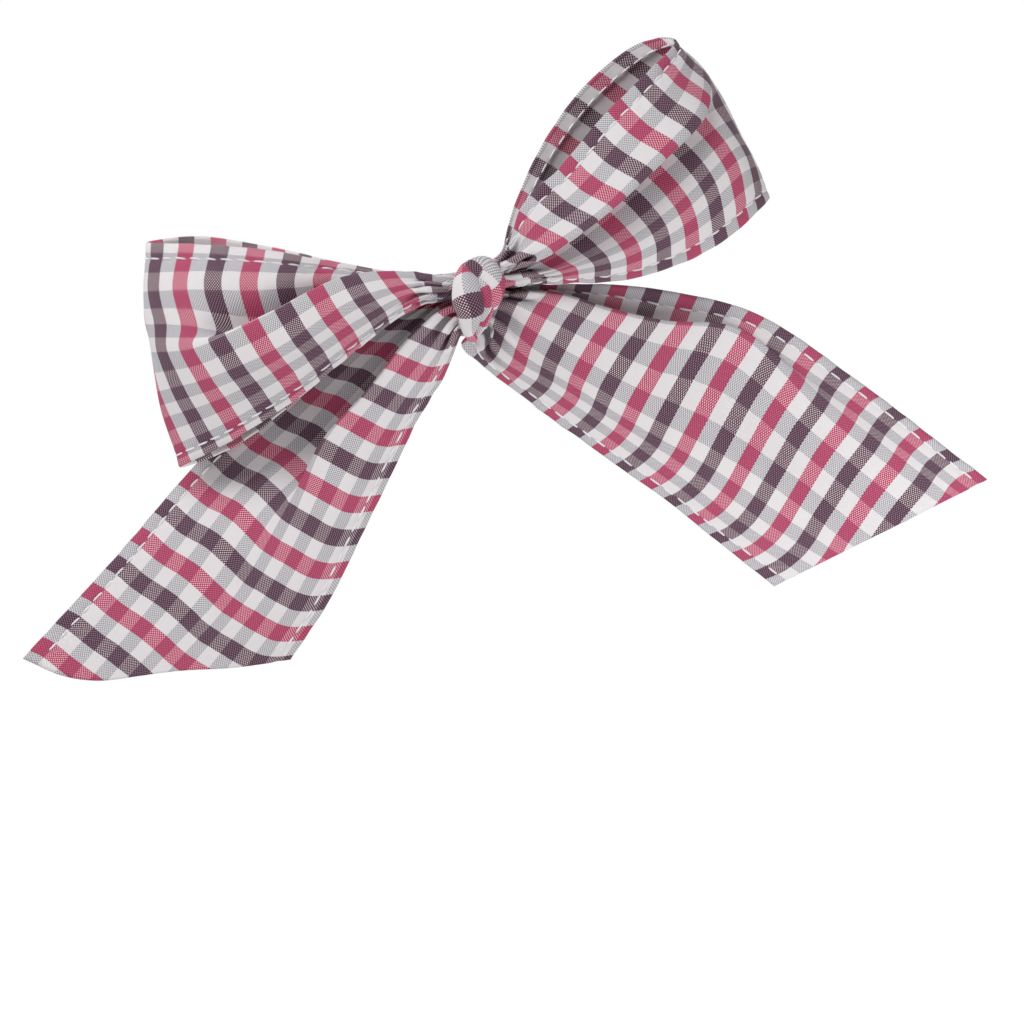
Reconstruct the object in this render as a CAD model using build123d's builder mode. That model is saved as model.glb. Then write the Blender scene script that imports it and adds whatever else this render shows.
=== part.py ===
from build123d import *
import math
import os

# Hair bow of woven gingham: a ring strip makes both loops, a second strip makes both
# tails, a narrow wrap is knotted over their gathers, and a sprung alligator clip
# behind the knot holds the hair. Millimetres, +Z up, the wearer's head towards +Y.
# The origin is the point where the clip's jaws hold the hair, behind the knot.

# ---------------------------------------------------------------- driving sizes: cloth
strip_width = 38.0            # finished width of both strips, hem to hem
cloth_thick = 0.6             # the cloth's solid: weave, turned hem and air
hem_width = 2.0               # stitch line to the cloth's edge
left_loop_reach = 52.7        # knot to the middle of the folded end
right_loop_reach = 45.3
left_tail_reach = 78.6        # knot to the middle of the cut end
right_tail_reach = 75.4
left_loop_lean = -166.9       # directions in the XZ plane, degrees from +X towards +Z
right_loop_lean = 34.8
left_tail_lean = -130.8
right_tail_lean = -29.3
fold_depth = 10.0             # scale of every fold's depth, front to back
fold_rounding_count = 5       # how often each fold is rounded before it gets its thickness
normal_easing_count = 4       # how often the thickness's direction is eased

# ---------------------------------------------------------------- driving sizes: knot
wrap_width = 5.6              # the band round the gathers, along X
wrap_height = 11.9            # room inside the band, along Z
wrap_depth = 8.9              # room inside the band, along Y
wrap_thick = 0.6
lobe_height = 1.75            # half width of the knot's rolled lobes, towards the front
left_lobe_width = 2.35        # half width of the lobe that crosses in front
right_lobe_width = 1.9        # half width of the lobe that arches over it
left_lobe_rise = 2.8          # how far the middle of each lobe stands off the band
right_lobe_rise = 2.2

# ---------------------------------------------------------------- driving sizes: thread
stitch_length = 2.0
stitch_pitch = 2.85
thread_radius = 0.45          # the pair of threads that lock through the cloth
gather_thread = 0.4
gather_turns = 4

# ---------------------------------------------------------------- driving sizes: clip
sheet = 0.7                   # steel sheet of both jaws
jaw_width = 8.0
tip_width = 5.0
tip_x = -21.0                 # the jaws' tip
tip_taper = 12.0              # how far the jaws widen from the tip
lever_x = 19.0                # the levers' end
pin_x = 8.5
pin_y = 1.9
pin_radius = 0.8
pin_head = 1.3
clip_z = -2.5                 # the clip lies a little under the knot's middle
mouth_half = 1.1              # hair line to the front jaw's inner face
lining_thick = 0.35
lining_inside = 9.0           # how far the ribbon comes back along the inner face
lever_rise = 4.4              # how far the back lever spreads from its hinge
lever_step = 0.2              # how far it has spread where it leaves the ears
ear_radius = 1.95
wire_radius = 0.3
coil_radius = 1.25
coil_pitch = 0.75

# ---------------------------------------------------------------- clearances and fits
run_gap = 0.05                # pin in the back jaw's ears
fixed_gap = 0.01              # pin in the front jaw's ears
side_gap = 0.2                # between the two jaws' ears
soft_gap = 0.3                # cloth to anything that moves
seat_gap = 0.05               # cloth, thread and steel that lie on each other

# ---------------------------------------------------------------- worked out from those
front_inner_y = -mouth_half
front_outer_y = front_inner_y - sheet
lining_front_y = front_outer_y - lining_thick
cloth_seat_y = lining_front_y - gather_thread - seat_gap - cloth_thick / 2
knot_half = wrap_width / 2 + 1.1
back_width = jaw_width - 2 * (sheet + side_gap)
knot_left = (-knot_half, 2.55)
knot_right = (knot_half, 3.91)
knot_low_left = (-knot_half, -3.4)
knot_low_right = (2.55, -3.4)

# The rails of each limb run from the knot to its end. Each point is (along, across,
# depth): along in reaches of the limb, across in strip widths square to it, and depth
# in fold depths from the clip's face, minus towards the front. The first rail is the
# strip's upper hem and the last its lower hem, and rail_widths says where on the strip
# each of them lies, in shares of its width.
rail_widths = [0.0, 0.16, 0.32, 0.45, 0.58, 0.79, 1.0]

left_loop_front = [
    [(0.00, -0.05, -0.26), (0.14, -0.07, -0.32), (0.34, -0.16, -0.36),
     (0.57, -0.30, -0.44), (0.78, -0.40, -0.29), (0.95, -0.48, 0.36)],
    [(0.00, -0.04, -0.32), (0.14, -0.04, -0.36), (0.34, -0.09, -0.46),
     (0.60, -0.15, -0.64), (0.82, -0.22, -0.49), (0.99, -0.28, 0.32)],
    [(0.00, -0.02, -0.30), (0.17, 0.01, -0.28), (0.38, 0.04, -0.30),
     (0.66, 0.06, -0.42), (0.86, -0.05, -0.49), (1.01, -0.12, 0.30)],
    [(0.00, -0.01, -0.52), (0.13, -0.08, -0.72), (0.34, -0.10, -0.84),
     (0.63, -0.01, -0.84), (0.85, 0.04, -0.64), (1.01, -0.01, 0.28)],
    [(0.00, 0.01, -0.60), (0.14, -0.04, -0.78), (0.33, -0.01, -0.90),
     (0.61, 0.12, -0.86), (0.84, 0.17, -0.59), (1.02, 0.16, 0.30)],
    [(0.00, 0.03, -0.58), (0.14, 0.01, -0.74), (0.32, 0.11, -0.80),
     (0.59, 0.24, -0.70), (0.83, 0.32, -0.44), (1.02, 0.34, 0.33)],
    [(0.00, 0.05, -0.52), (0.14, 0.06, -0.64), (0.32, 0.19, -0.64),
     (0.56, 0.35, -0.50), (0.81, 0.47, -0.24), (1.01, 0.53, 0.36)],
]
left_loop_back = [
    [(0.79, -0.47, 0.76), (0.58, -0.35, 0.66), (0.36, -0.18, 0.02),
     (0.14, -0.07, -0.12), (0.00, -0.05, -0.08)],
    [(0.84, -0.25, 0.88), (0.61, -0.16, 0.74), (0.37, -0.10, -0.04),
     (0.15, -0.05, -0.12), (0.00, -0.03, -0.08)],
    [(0.86, -0.07, 0.91), (0.64, 0.00, 0.72), (0.38, -0.03, -0.06),
     (0.15, -0.03, -0.12), (0.00, -0.01, -0.08)],
    [(0.86, 0.05, 0.88), (0.63, 0.09, 0.66), (0.38, 0.02, -0.08),
     (0.15, -0.01, -0.13), (0.00, 0.00, -0.08)],
    [(0.85, 0.21, 0.74), (0.62, 0.18, 0.48), (0.37, 0.07, -0.12),
     (0.15, 0.01, -0.16), (0.00, 0.01, -0.08)],
    [(0.84, 0.36, 0.54), (0.60, 0.29, 0.18), (0.35, 0.13, -0.22),
     (0.15, 0.03, -0.22), (0.00, 0.03, -0.08)],
    [(0.82, 0.50, 0.26), (0.58, 0.36, -0.02), (0.34, 0.19, -0.34),
     (0.15, 0.05, -0.30), (0.00, 0.04, -0.08)],
]
right_loop_front = [
    [(0.02, 0.01, -0.40), (0.19, 0.15, -0.64), (0.38, 0.21, -0.84),
     (0.60, 0.28, -0.94), (0.83, 0.33, -0.79), (1.02, 0.40, 0.06)],
    [(0.02, 0.00, -0.54), (0.19, 0.03, -0.84), (0.39, 0.05, -1.06),
     (0.63, 0.12, -1.14), (0.87, 0.19, -0.94), (1.03, 0.31, 0.06)],
    [(0.02, -0.01, -0.60), (0.15, -0.07, -0.94), (0.40, -0.08, -1.18),
     (0.66, -0.04, -1.24), (0.92, 0.03, -0.94), (1.04, 0.21, 0.06)],
    [(0.02, -0.03, -0.42), (0.15, -0.05, -0.58), (0.39, -0.01, -0.64),
     (0.65, 0.04, -0.68), (0.91, 0.05, -0.54), (1.04, 0.06, 0.11)],
    [(0.01, -0.05, -0.48), (0.15, -0.12, -0.66), (0.40, -0.15, -0.76),
     (0.68, -0.13, -0.80), (0.95, -0.08, -0.49), (1.02, -0.09, 0.16)],
    [(0.01, -0.08, -0.50), (0.15, -0.16, -0.68), (0.40, -0.27, -0.78),
     (0.67, -0.29, -0.74), (0.94, -0.24, -0.46), (1.00, -0.26, 0.21)],
    [(0.01, -0.10, -0.46), (0.14, -0.20, -0.60), (0.35, -0.35, -0.60),
     (0.60, -0.44, -0.54), (0.81, -0.45, -0.32), (0.98, -0.40, 0.26)],
]
right_loop_back = [
    [(0.91, 0.49, 0.36), (0.65, 0.47, 0.11), (0.40, 0.36, -0.08),
     (0.19, 0.20, -0.14), (0.02, 0.02, -0.08)],
    [(0.93, 0.31, 0.46), (0.70, 0.28, 0.31), (0.43, 0.20, 0.06),
     (0.20, 0.09, -0.12), (0.02, 0.01, -0.08)],
    [(0.94, 0.16, 0.52), (0.71, 0.09, 0.41), (0.45, 0.03, 0.12),
     (0.21, 0.00, -0.11), (0.01, 0.00, -0.08)],
    [(0.94, 0.04, 0.54), (0.71, -0.02, 0.42), (0.45, -0.04, 0.10),
     (0.19, -0.05, -0.11), (0.01, -0.01, -0.08)],
    [(0.94, -0.09, 0.54), (0.70, -0.12, 0.42), (0.44, -0.12, 0.04),
     (0.18, -0.10, -0.11), (0.01, -0.03, -0.08)],
    [(0.90, -0.26, 0.48), (0.68, -0.26, 0.34), (0.41, -0.22, -0.06),
     (0.17, -0.15, -0.12), (0.01, -0.05, -0.08)],
    [(0.85, -0.41, 0.40), (0.64, -0.39, 0.22), (0.39, -0.31, -0.12),
     (0.16, -0.18, -0.14), (0.01, -0.08, -0.08)],
]
left_tail_rails = [
    [(-0.02, -0.10, -0.04), (0.05, -0.22, -0.08), (0.21, -0.32, 0.12), (0.42, -0.40, 0.50),
     (0.61, -0.45, 0.66), (0.88, -0.45, 0.56), (1.18, -0.47, 0.50)],
    [(-0.02, -0.08, -0.04), (0.07, -0.16, -0.08), (0.23, -0.23, 0.06), (0.42, -0.27, 0.36),
     (0.61, -0.31, 0.50), (0.86, -0.29, 0.44), (1.15, -0.28, 0.44)],
    [(-0.02, -0.05, -0.04), (0.09, -0.11, -0.08), (0.25, -0.13, 0.01), (0.42, -0.14, 0.22),
     (0.59, -0.18, 0.34), (0.83, -0.14, 0.32), (1.10, -0.13, 0.38)],
    [(-0.02, -0.03, -0.04), (0.10, -0.05, -0.04), (0.26, 0.00, 0.00), (0.41, -0.02, 0.10),
     (0.58, -0.05, 0.20), (0.79, 0.00, 0.24), (1.04, -0.02, 0.34)],
    [(-0.01, -0.02, -0.40), (0.09, -0.08, -0.40), (0.25, -0.07, -0.30), (0.40, -0.08, -0.12),
     (0.54, 0.00, 0.06), (0.76, 0.09, 0.18), (0.98, 0.09, 0.30)],
    [(0.01, 0.02, -0.46), (0.11, 0.03, -0.44), (0.23, 0.06, -0.36), (0.37, 0.10, -0.22),
     (0.52, 0.17, -0.06), (0.71, 0.25, 0.12), (0.89, 0.28, 0.30)],
    [(0.03, 0.06, -0.40), (0.13, 0.13, -0.36), (0.22, 0.17, -0.28), (0.35, 0.24, -0.14),
     (0.48, 0.31, -0.02), (0.65, 0.40, 0.14), (0.80, 0.44, 0.34)],
]
right_tail_rails = [
    [(0.02, 0.12, -0.04), (0.08, 0.22, -0.04), (0.18, 0.34, 0.00), (0.31, 0.46, 0.04),
     (0.50, 0.56, 0.06), (0.77, 0.53, 0.20), (1.15, 0.43, 0.46)],
    [(0.02, 0.10, -0.04), (0.10, 0.17, -0.04), (0.22, 0.25, 0.02), (0.36, 0.31, 0.08),
     (0.51, 0.44, 0.06), (0.76, 0.43, 0.18), (1.12, 0.34, 0.48)],
    [(0.02, 0.11, -0.36), (0.10, 0.20, -0.38), (0.23, 0.26, -0.36), (0.34, 0.33, -0.30),
     (0.49, 0.46, -0.12), (0.76, 0.34, 0.12), (1.09, 0.25, 0.50)],
    [(0.02, 0.07, -0.50), (0.12, 0.10, -0.48), (0.25, 0.12, -0.34), (0.37, 0.15, -0.16),
     (0.52, 0.22, 0.04), (0.75, 0.16, 0.28), (1.03, 0.07, 0.52)],
    [(0.01, 0.00, -0.46), (0.13, -0.02, -0.36), (0.26, -0.04, -0.23), (0.40, -0.05, -0.24),
     (0.55, -0.03, -0.12), (0.74, -0.04, 0.14), (0.97, -0.10, 0.46)],
    [(0.01, -0.05, -0.42), (0.12, -0.12, -0.36), (0.26, -0.16, -0.27), (0.40, -0.19, -0.08),
     (0.56, -0.22, 0.04), (0.73, -0.26, 0.22), (0.91, -0.27, 0.41)],
    [(0.01, -0.09, -0.36), (0.11, -0.22, -0.28), (0.25, -0.27, -0.18), (0.40, -0.32, -0.10),
     (0.54, -0.34, 0.00), (0.69, -0.39, 0.16), (0.85, -0.44, 0.36)],
]


def place(rails, knot, reach, lean):
    """Turn a limb's rails into points of the part's frame."""
    ahead = (math.cos(math.radians(lean)), math.sin(math.radians(lean)))
    placed = []
    for rail in rails:
        line = []
        for along, across, depth in rail:
            x = knot[0] + along * reach * ahead[0] - across * strip_width * ahead[1]
            z = knot[1] + along * reach * ahead[1] + across * strip_width * ahead[0]
            line.append(Vector(x, cloth_seat_y + depth * fold_depth, z))
        placed.append(line)
    return placed


def mix(first, second, share):
    """The point at a share of the way from first to second."""
    return first * (1 - share) + second * share


def blend(before, start, end, after, share):
    """A point on the centripetal curve that runs smoothly from start to end."""
    t1 = math.sqrt((start - before).length)
    t2 = t1 + math.sqrt((end - start).length)
    t3 = t2 + math.sqrt((after - end).length)
    t = mix(t1, t2, share)
    first = mix(before, start, t / t1)
    second = mix(start, end, share)
    third = mix(end, after, (t - t2) / (t3 - t2))
    near = mix(first, second, t / t2)
    far = mix(second, third, (t - t1) / (t3 - t1))
    return mix(near, far, share)


def smooth_line(points, parts):
    """A line of points with more points put smoothly between them."""
    ends = [points[0] * 2 - points[1], *points, points[-1] * 2 - points[-2]]
    line = []
    for i in range(len(points) - 1):
        for part in range(parts):
            line.append(blend(*ends[i:i + 4], part / parts))
    return [*line, points[-1]]


def even_line(points, count):
    """The same line, as count points spaced evenly along it."""
    reached = [0.0]
    for first, second in zip(points, points[1:]):
        reached.append(reached[-1] + (second - first).length)
    line = []
    span = 0
    for step in range(count):
        goal = reached[-1] * step / (count - 1)
        while span < len(points) - 2 and reached[span + 1] < goal:
            span += 1
        share = (goal - reached[span]) / (reached[span + 1] - reached[span])
        line.append(mix(points[span], points[span + 1], share))
    return line


def rounded_line(points):
    """The same line with its sharp turns rounded, as thick cloth rounds its folds."""
    for _ in range(fold_rounding_count):
        inner = [
            (before + point * 2 + after) / 4
            for before, point, after in zip(points, points[1:], points[2:])
        ]
        points = [points[0], *inner, points[-1]]
    return points


def smooth_grid(rails, parts):
    """Rails along the strip, with more points along and across them."""
    along = [even_line(smooth_line(rail, 8), parts * len(rail)) for rail in rails]
    columns = [rounded_line(smooth_line(list(column), parts)) for column in zip(*along)]
    return [list(row) for row in zip(*columns)]


def cloth_normal(grid, i, j):
    """The square direction to the cloth at one point of its grid."""
    across = grid[min(i + 1, len(grid) - 1)][j] - grid[max(i - 1, 0)][j]
    along = grid[i][min(j + 1, len(grid[0]) - 1)] - grid[i][max(j - 1, 0)]
    return across.cross(along).normalized()


def cloth_normals(grid):
    """The square directions at every point, eased so that tight folds don't cross."""
    normals = [[cloth_normal(grid, i, j) for j in range(len(row))] for i, row in enumerate(grid)]
    last_row = len(grid) - 1
    last_column = len(grid[0]) - 1
    for _ in range(normal_easing_count):
        eased = []
        for i, row in enumerate(normals):
            above = normals[max(i - 1, 0)]
            below = normals[min(i + 1, last_row)]
            eased_row = []
            for j, normal in enumerate(row):
                beside = row[max(j - 1, 0)] + row[min(j + 1, last_column)]
                eased_row.append((normal * 2 + above[j] + below[j] + beside).normalized())
            eased.append(eased_row)
        normals = eased
    return normals


def cloth_solid(grid):
    """A closed solid of the cloth's thickness, centred on the grid."""
    normals = cloth_normals(grid)
    faces = []
    for side in (-cloth_thick / 2, cloth_thick / 2):
        shifted = []
        for row, directions in zip(grid, normals):
            shifted.append([point + normal * side for point, normal in zip(row, directions)])
        faces.append(Face.make_surface_from_array_of_points(shifted, tol=0.02))
    walls = []
    for near in faces[0].edges():
        far = faces[1].edges().sort_by(lambda edge: (edge.center() - near.center()).length)[0]
        walls.append(Face.make_surface_from_curves(near, far))
    return Solid(Shell([*faces, *walls]))


def thread_solids(grid, share):
    """Short lengths of thread that lock through the cloth, in a row along the strip.

    The rows stop at the knot, which hides the gathers."""
    rows = len(grid) - 1
    low = min(int(share * rows), rows - 1)
    part = share * rows - low
    line = [mix(grid[low][j], grid[low + 1][j], part) for j in range(len(grid[0]))]
    length = sum((second - first).length for first, second in zip(line, line[1:]))
    count = int(length / stitch_pitch)
    places = even_line(smooth_line(line, 4), 2 * count + 1)
    stitches = []
    for i in range(count):
        middle = places[2 * i + 1]
        ahead = (places[2 * i + 2] - places[2 * i]).normalized()
        if abs(middle.X) < knot_half + stitch_length:
            continue
        start = middle - ahead * (stitch_length / 2)
        with BuildPart(mode=Mode.PRIVATE) as stitch:
            with BuildSketch(Plane(origin=start, z_dir=ahead)):
                Circle(thread_radius)
            extrude(amount=stitch_length)
        stitches.append(stitch.part)
    return stitches


def write(piece, name):
    """Name a finished piece and write it to its own file."""
    piece.label = name
    export_step(piece, f"parts/{name}.step")


os.makedirs("parts", exist_ok=True)

# ---------------------------------------------------------------- the two cloth strips
left_front = place(left_loop_front, knot_left, left_loop_reach, left_loop_lean)
left_back = place(left_loop_back, knot_left, left_loop_reach, left_loop_lean)
right_front = place(right_loop_front, knot_right, right_loop_reach, right_loop_lean)
right_back = place(right_loop_back, knot_right, right_loop_reach, right_loop_lean)
left_tail = place(left_tail_rails, knot_low_left, left_tail_reach, left_tail_lean)
right_tail = place(right_tail_rails, knot_low_right, right_tail_reach, right_tail_lean)

# The loop strip is a ring: out along the right back, home along the right front, through
# the knot, out along the left front and home along the left back. Its two ends meet at
# the back of the knot, under the wrap.
seam_gap = 0.04
loop_rails = []
for i in range(len(rail_widths)):
    seam_start = mix(right_back[i][-1], left_back[i][-1], 0.5 - seam_gap)
    seam_end = mix(right_back[i][-1], left_back[i][-1], 0.5 + seam_gap)
    outward = [seam_start, *reversed(right_back[i]), *reversed(right_front[i])]
    loop_rails.append([*outward, *left_front[i], *left_back[i], seam_end])
tail_rails = [[*reversed(left_tail[i]), *right_tail[i]] for i in range(len(rail_widths))]

loop_grid = smooth_grid(loop_rails, 3)
tail_grid = smooth_grid(tail_rails, 3)

with BuildPart() as loop_strip:
    add(cloth_solid(loop_grid))
write(loop_strip.part, "loop_strip")

with BuildPart() as tail_strip:
    add(cloth_solid(tail_grid))
write(tail_strip.part, "tail_strip")

# ---------------------------------------------------------------- hem stitching
hem_share = hem_width / strip_width
rail_gaps = len(rail_widths) - 1
upper_share = hem_share / rail_widths[1] / rail_gaps
lower_share = 1 - hem_share / (1 - rail_widths[-2]) / rail_gaps
for strip_name, grid in (("loop", loop_grid), ("tail", tail_grid)):
    for edge_name, share in (("upper", upper_share), ("lower", lower_share)):
        stitches = Compound(children=thread_solids(grid, share))
        write(stitches, f"{strip_name}_hem_stitches_{edge_name}")

# ---------------------------------------------------------------- knot: gathers and wrap
band_back_y = front_inner_y + seat_gap
band_front_y = band_back_y - wrap_depth
band_mid_y = (band_back_y + band_front_y) / 2
band_mid_z = -0.8
band_front_corner = 2.2
band_back_corner = 0.35


def band_profile(depth, height, grow):
    """The band seen from the side: round at the front, square where it grips the jaw."""
    with BuildSketch(mode=Mode.PRIVATE) as profile:
        Rectangle(depth, height)
        fillet(profile.vertices().group_by(Axis.X)[0], band_front_corner + grow)
        fillet(profile.vertices().group_by(Axis.X)[-1], band_back_corner + max(grow, 0))
    return profile.sketch


with BuildPart() as wrap_band:
    with BuildSketch(Plane.YZ.offset(-wrap_width / 2)):
        with Locations((band_mid_y, band_mid_z)):
            add(band_profile(wrap_depth + 2 * wrap_thick, wrap_height + 2 * wrap_thick, wrap_thick))
            add(band_profile(wrap_depth, wrap_height, 0), mode=Mode.SUBTRACT)
    extrude(amount=wrap_width)

# The knot in front of the band: one rolled lobe arches over from the upper right, and
# the other crosses down in front of it on the left. Each is (x, z) at its top, middle
# and foot, and its ends lie in the band's front pass.
lobe_seat_y = band_front_y
right_lobe_run = ((-1.8, 3.6), (2.5, 2.6), (2.0, -5.2))
left_lobe_run = ((-0.9, 4.0), (-2.0, -1.4), (-1.3, -5.8))


def lobe(run, rise, half_width):
    """One rolled lobe of the knot, arched off the band's front pass."""
    top, middle, foot = run
    arch = ThreePointArc(
        (top[0], lobe_seat_y, top[1]), (middle[0], lobe_seat_y - rise, middle[1]), (foot[0], lobe_seat_y, foot[1]),
        mode=Mode.PRIVATE,
    )
    with BuildPart(mode=Mode.PRIVATE) as roll:
        with BuildSketch(Plane(origin=arch @ 0, x_dir=(1, 0, 0), z_dir=arch % 0)):
            Ellipse(half_width, lobe_height)
        sweep(path=arch)
    return roll.part


with BuildPart() as knot_wrap:
    add(lobe(right_lobe_run, right_lobe_rise, right_lobe_width))
    add(lobe(left_lobe_run, left_lobe_rise, left_lobe_width))
    with BuildSketch(Plane.YZ.offset(-knot_half)):
        with Locations((band_mid_y, band_mid_z)):
            add(band_profile(wrap_depth, wrap_height, 0))
    extrude(amount=3 * knot_half, mode=Mode.SUBTRACT)
    add(wrap_band.part)
write(knot_wrap.part, "knot_wrap")

# The gathers are bound by a few turns of thread before the wrap goes over them.
with BuildPart() as gather_winding:
    turn_pitch = (wrap_width - 3 * gather_thread) / (gather_turns - 1)
    for turn in range(gather_turns):
        turn_x = -wrap_width / 2 + gather_thread + turn * turn_pitch
        with BuildSketch(Plane.YZ.offset(turn_x)):
            with Locations(((lining_front_y + band_front_y) / 2, band_mid_z)):
                turn_depth = lining_front_y - band_front_y - 2 * seat_gap
                turn_height = wrap_height - 2 * seat_gap
                inner_depth = turn_depth - 2 * gather_thread
                inner_height = turn_height - 2 * gather_thread
                add(band_profile(turn_depth, turn_height, 0))
                add(band_profile(inner_depth, inner_height, -gather_thread), mode=Mode.SUBTRACT)
        extrude(amount=gather_thread)
write(gather_winding.part, "gather_thread")

# The wrap's ends are sewn together on the band's back pass, inside the clip's mouth.
seam_stitch_count = 4
seam_stitch_length = 2.2
seam_stitch_radius = 0.18
with BuildPart() as seam_stitches:
    for i in range(seam_stitch_count):
        stitch_z = clip_z + (i - (seam_stitch_count - 1) / 2) * jaw_width / (seam_stitch_count + 1)
        start = (-seam_stitch_length / 2, band_back_y + wrap_thick, stitch_z)
        with BuildSketch(Plane(origin=start, z_dir=(1, 0, 0))):
            Circle(seam_stitch_radius)
        extrude(amount=seam_stitch_length)
write(seam_stitches.part, "wrap_seam_stitches")

# ---------------------------------------------------------------- clip: outlines
shoulder_x = tip_x + tip_taper
tip_round = 2.2
lever_round = 1.6


def jaw_outline(half, tip_half):
    """The jaw's outline on the sketch plane: a slim tip, then full width to the lever."""
    Polygon(
        (tip_x, -tip_half), (shoulder_x, -half), (lever_x, -half), (lever_x, half),
        (shoulder_x, half), (tip_x, tip_half), align=None,
    )


def ear_profile(root_y, outer_radius):
    """A jaw's ear from the side: straight off the plate, round over the pin."""
    with Locations((pin_x, (root_y + pin_y) / 2)):
        Rectangle(2 * outer_radius, abs(root_y - pin_y))
    with Locations((pin_x, pin_y)):
        Circle(outer_radius)


# A plane whose sketch X is the part's X, sketch Y the part's Z, facing the head.
clip_plane = Plane(origin=(0, 0, clip_z), x_dir=(1, 0, 0), z_dir=(0, -1, 0))

# ---------------------------------------------------------------- clip: front jaw
with BuildPart() as front_jaw:
    with BuildSketch(clip_plane.offset(-front_inner_y)) as front_plate:
        jaw_outline(jaw_width / 2, tip_width / 2)
        fillet(front_plate.vertices().group_by(Axis.X)[0], tip_round)
        fillet(front_plate.vertices().group_by(Axis.X)[-1], lever_round)
    extrude(amount=sheet)
    for side in (-1, 1):
        ear_z = clip_z + side * (jaw_width / 2 - sheet / 2)
        with BuildSketch(Plane.XY.offset(ear_z - sheet / 2)):
            ear_profile(front_outer_y, ear_radius)
            with Locations((pin_x, pin_y)):
                Circle(pin_radius + fixed_gap, mode=Mode.SUBTRACT)
        extrude(amount=sheet)
write(front_jaw.part, "front_jaw")

# ---------------------------------------------------------------- clip: ribbon lining
# A grosgrain ribbon lies on the front jaw's outer face, folds round its tip and comes
# a little way back along the inner face.
lining_half = jaw_width / 2 - 0.4
lining_tip_half = tip_width / 2 - 0.3
lining_corner = tip_round - 0.3
fold_half = lining_tip_half - lining_corner + 0.9
fold_x = tip_x - seat_gap - lining_thick


def fold_end():
    """The straight end of the ribbon, which runs past the jaw's tip to its fold."""
    with Locations(((fold_x + tip_x + tip_round) / 2, 0)):
        Rectangle(tip_x + tip_round - fold_x, 2 * fold_half)


with BuildPart() as clip_lining:
    with BuildSketch(clip_plane.offset(-front_outer_y)) as lining_face:
        jaw_outline(lining_half, lining_tip_half)
        fillet(lining_face.vertices().group_by(Axis.X)[0], lining_corner)
        fold_end()
    extrude(amount=lining_thick)
    with BuildSketch(clip_plane.offset(-front_inner_y - lining_thick)) as lining_back:
        jaw_outline(lining_half, lining_tip_half)
        fillet(lining_back.vertices().group_by(Axis.X)[0], lining_corner)
        fold_end()
        with Locations((tip_x + lining_inside, 0)):
            Rectangle(lever_x - tip_x, 2 * jaw_width, align=(Align.MIN, Align.CENTER), mode=Mode.SUBTRACT)
    extrude(amount=lining_thick)
    with BuildSketch(clip_plane.offset(-front_inner_y - lining_thick)):
        with Locations((fold_x, 0)):
            Rectangle(lining_thick, 2 * fold_half, align=(Align.MIN, Align.CENTER))
    extrude(amount=sheet + 2 * lining_thick)
write(clip_lining.part, "clip_lining")

# ---------------------------------------------------------------- clip: back jaw
back_tip_y = front_inner_y + lining_thick + soft_gap + sheet / 2
back_hinge_y = pin_y + ear_radius + sheet
with BuildPart() as back_jaw:
    with BuildSketch(Plane.XY.offset(clip_z)):
        with BuildLine() as back_curve:
            jaw_bow = Spline(
                (tip_x + sheet, back_tip_y), (shoulder_x, back_tip_y + 1.3), (pin_x - ear_radius, back_hinge_y),
                tangents=((1, 0), (1, 0.12)),
            )
            hinge_run = Line(jaw_bow @ 1, (pin_x + ear_radius, back_hinge_y + lever_step))
            Line(hinge_run @ 1, (lever_x, back_hinge_y + lever_rise))
        trace(back_curve.line, sheet)
    extrude(amount=back_width / 2, both=True)
    for side in (-1, 1):
        ear_z = clip_z + side * (back_width / 2 - sheet / 2)
        with BuildSketch(Plane.XY.offset(ear_z - sheet / 2)):
            ear_profile(back_hinge_y + 0.1, ear_radius)
            with Locations((pin_x, pin_y)):
                Circle(pin_radius + run_gap, mode=Mode.SUBTRACT)
        extrude(amount=sheet)
    with BuildSketch(clip_plane.offset(-back_hinge_y - lever_rise - sheet)) as back_limits:
        jaw_outline(back_width / 2, tip_width / 2 - side_gap)
        fillet(back_limits.vertices().group_by(Axis.X)[0], tip_round - side_gap)
        fillet(back_limits.vertices().group_by(Axis.X)[-1], lever_round)
    extrude(amount=back_hinge_y + lever_rise + sheet + mouth_half, mode=Mode.INTERSECT)
write(back_jaw.part, "back_jaw")

# ---------------------------------------------------------------- clip: hinge pin
with BuildPart() as hinge_pin:
    with BuildSketch(Plane.XY.offset(clip_z - jaw_width / 2 - seat_gap)):
        with Locations((pin_x, pin_y)):
            Circle(pin_radius)
    extrude(amount=jaw_width + 2 * seat_gap)
    for side in (-1, 1):
        head_z = clip_z + side * (jaw_width / 2 + seat_gap)
        with BuildSketch(Plane.XY.offset(head_z)):
            with Locations((pin_x, pin_y)):
                Circle(pin_head)
        extrude(amount=side * 0.5)
    head_edges = hinge_pin.edges().filter_by(GeomType.CIRCLE).sort_by(Axis.Z)
    fillet([head_edges[0], head_edges[-1]], 0.3)
write(hinge_pin.part, "hinge_pin")

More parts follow.
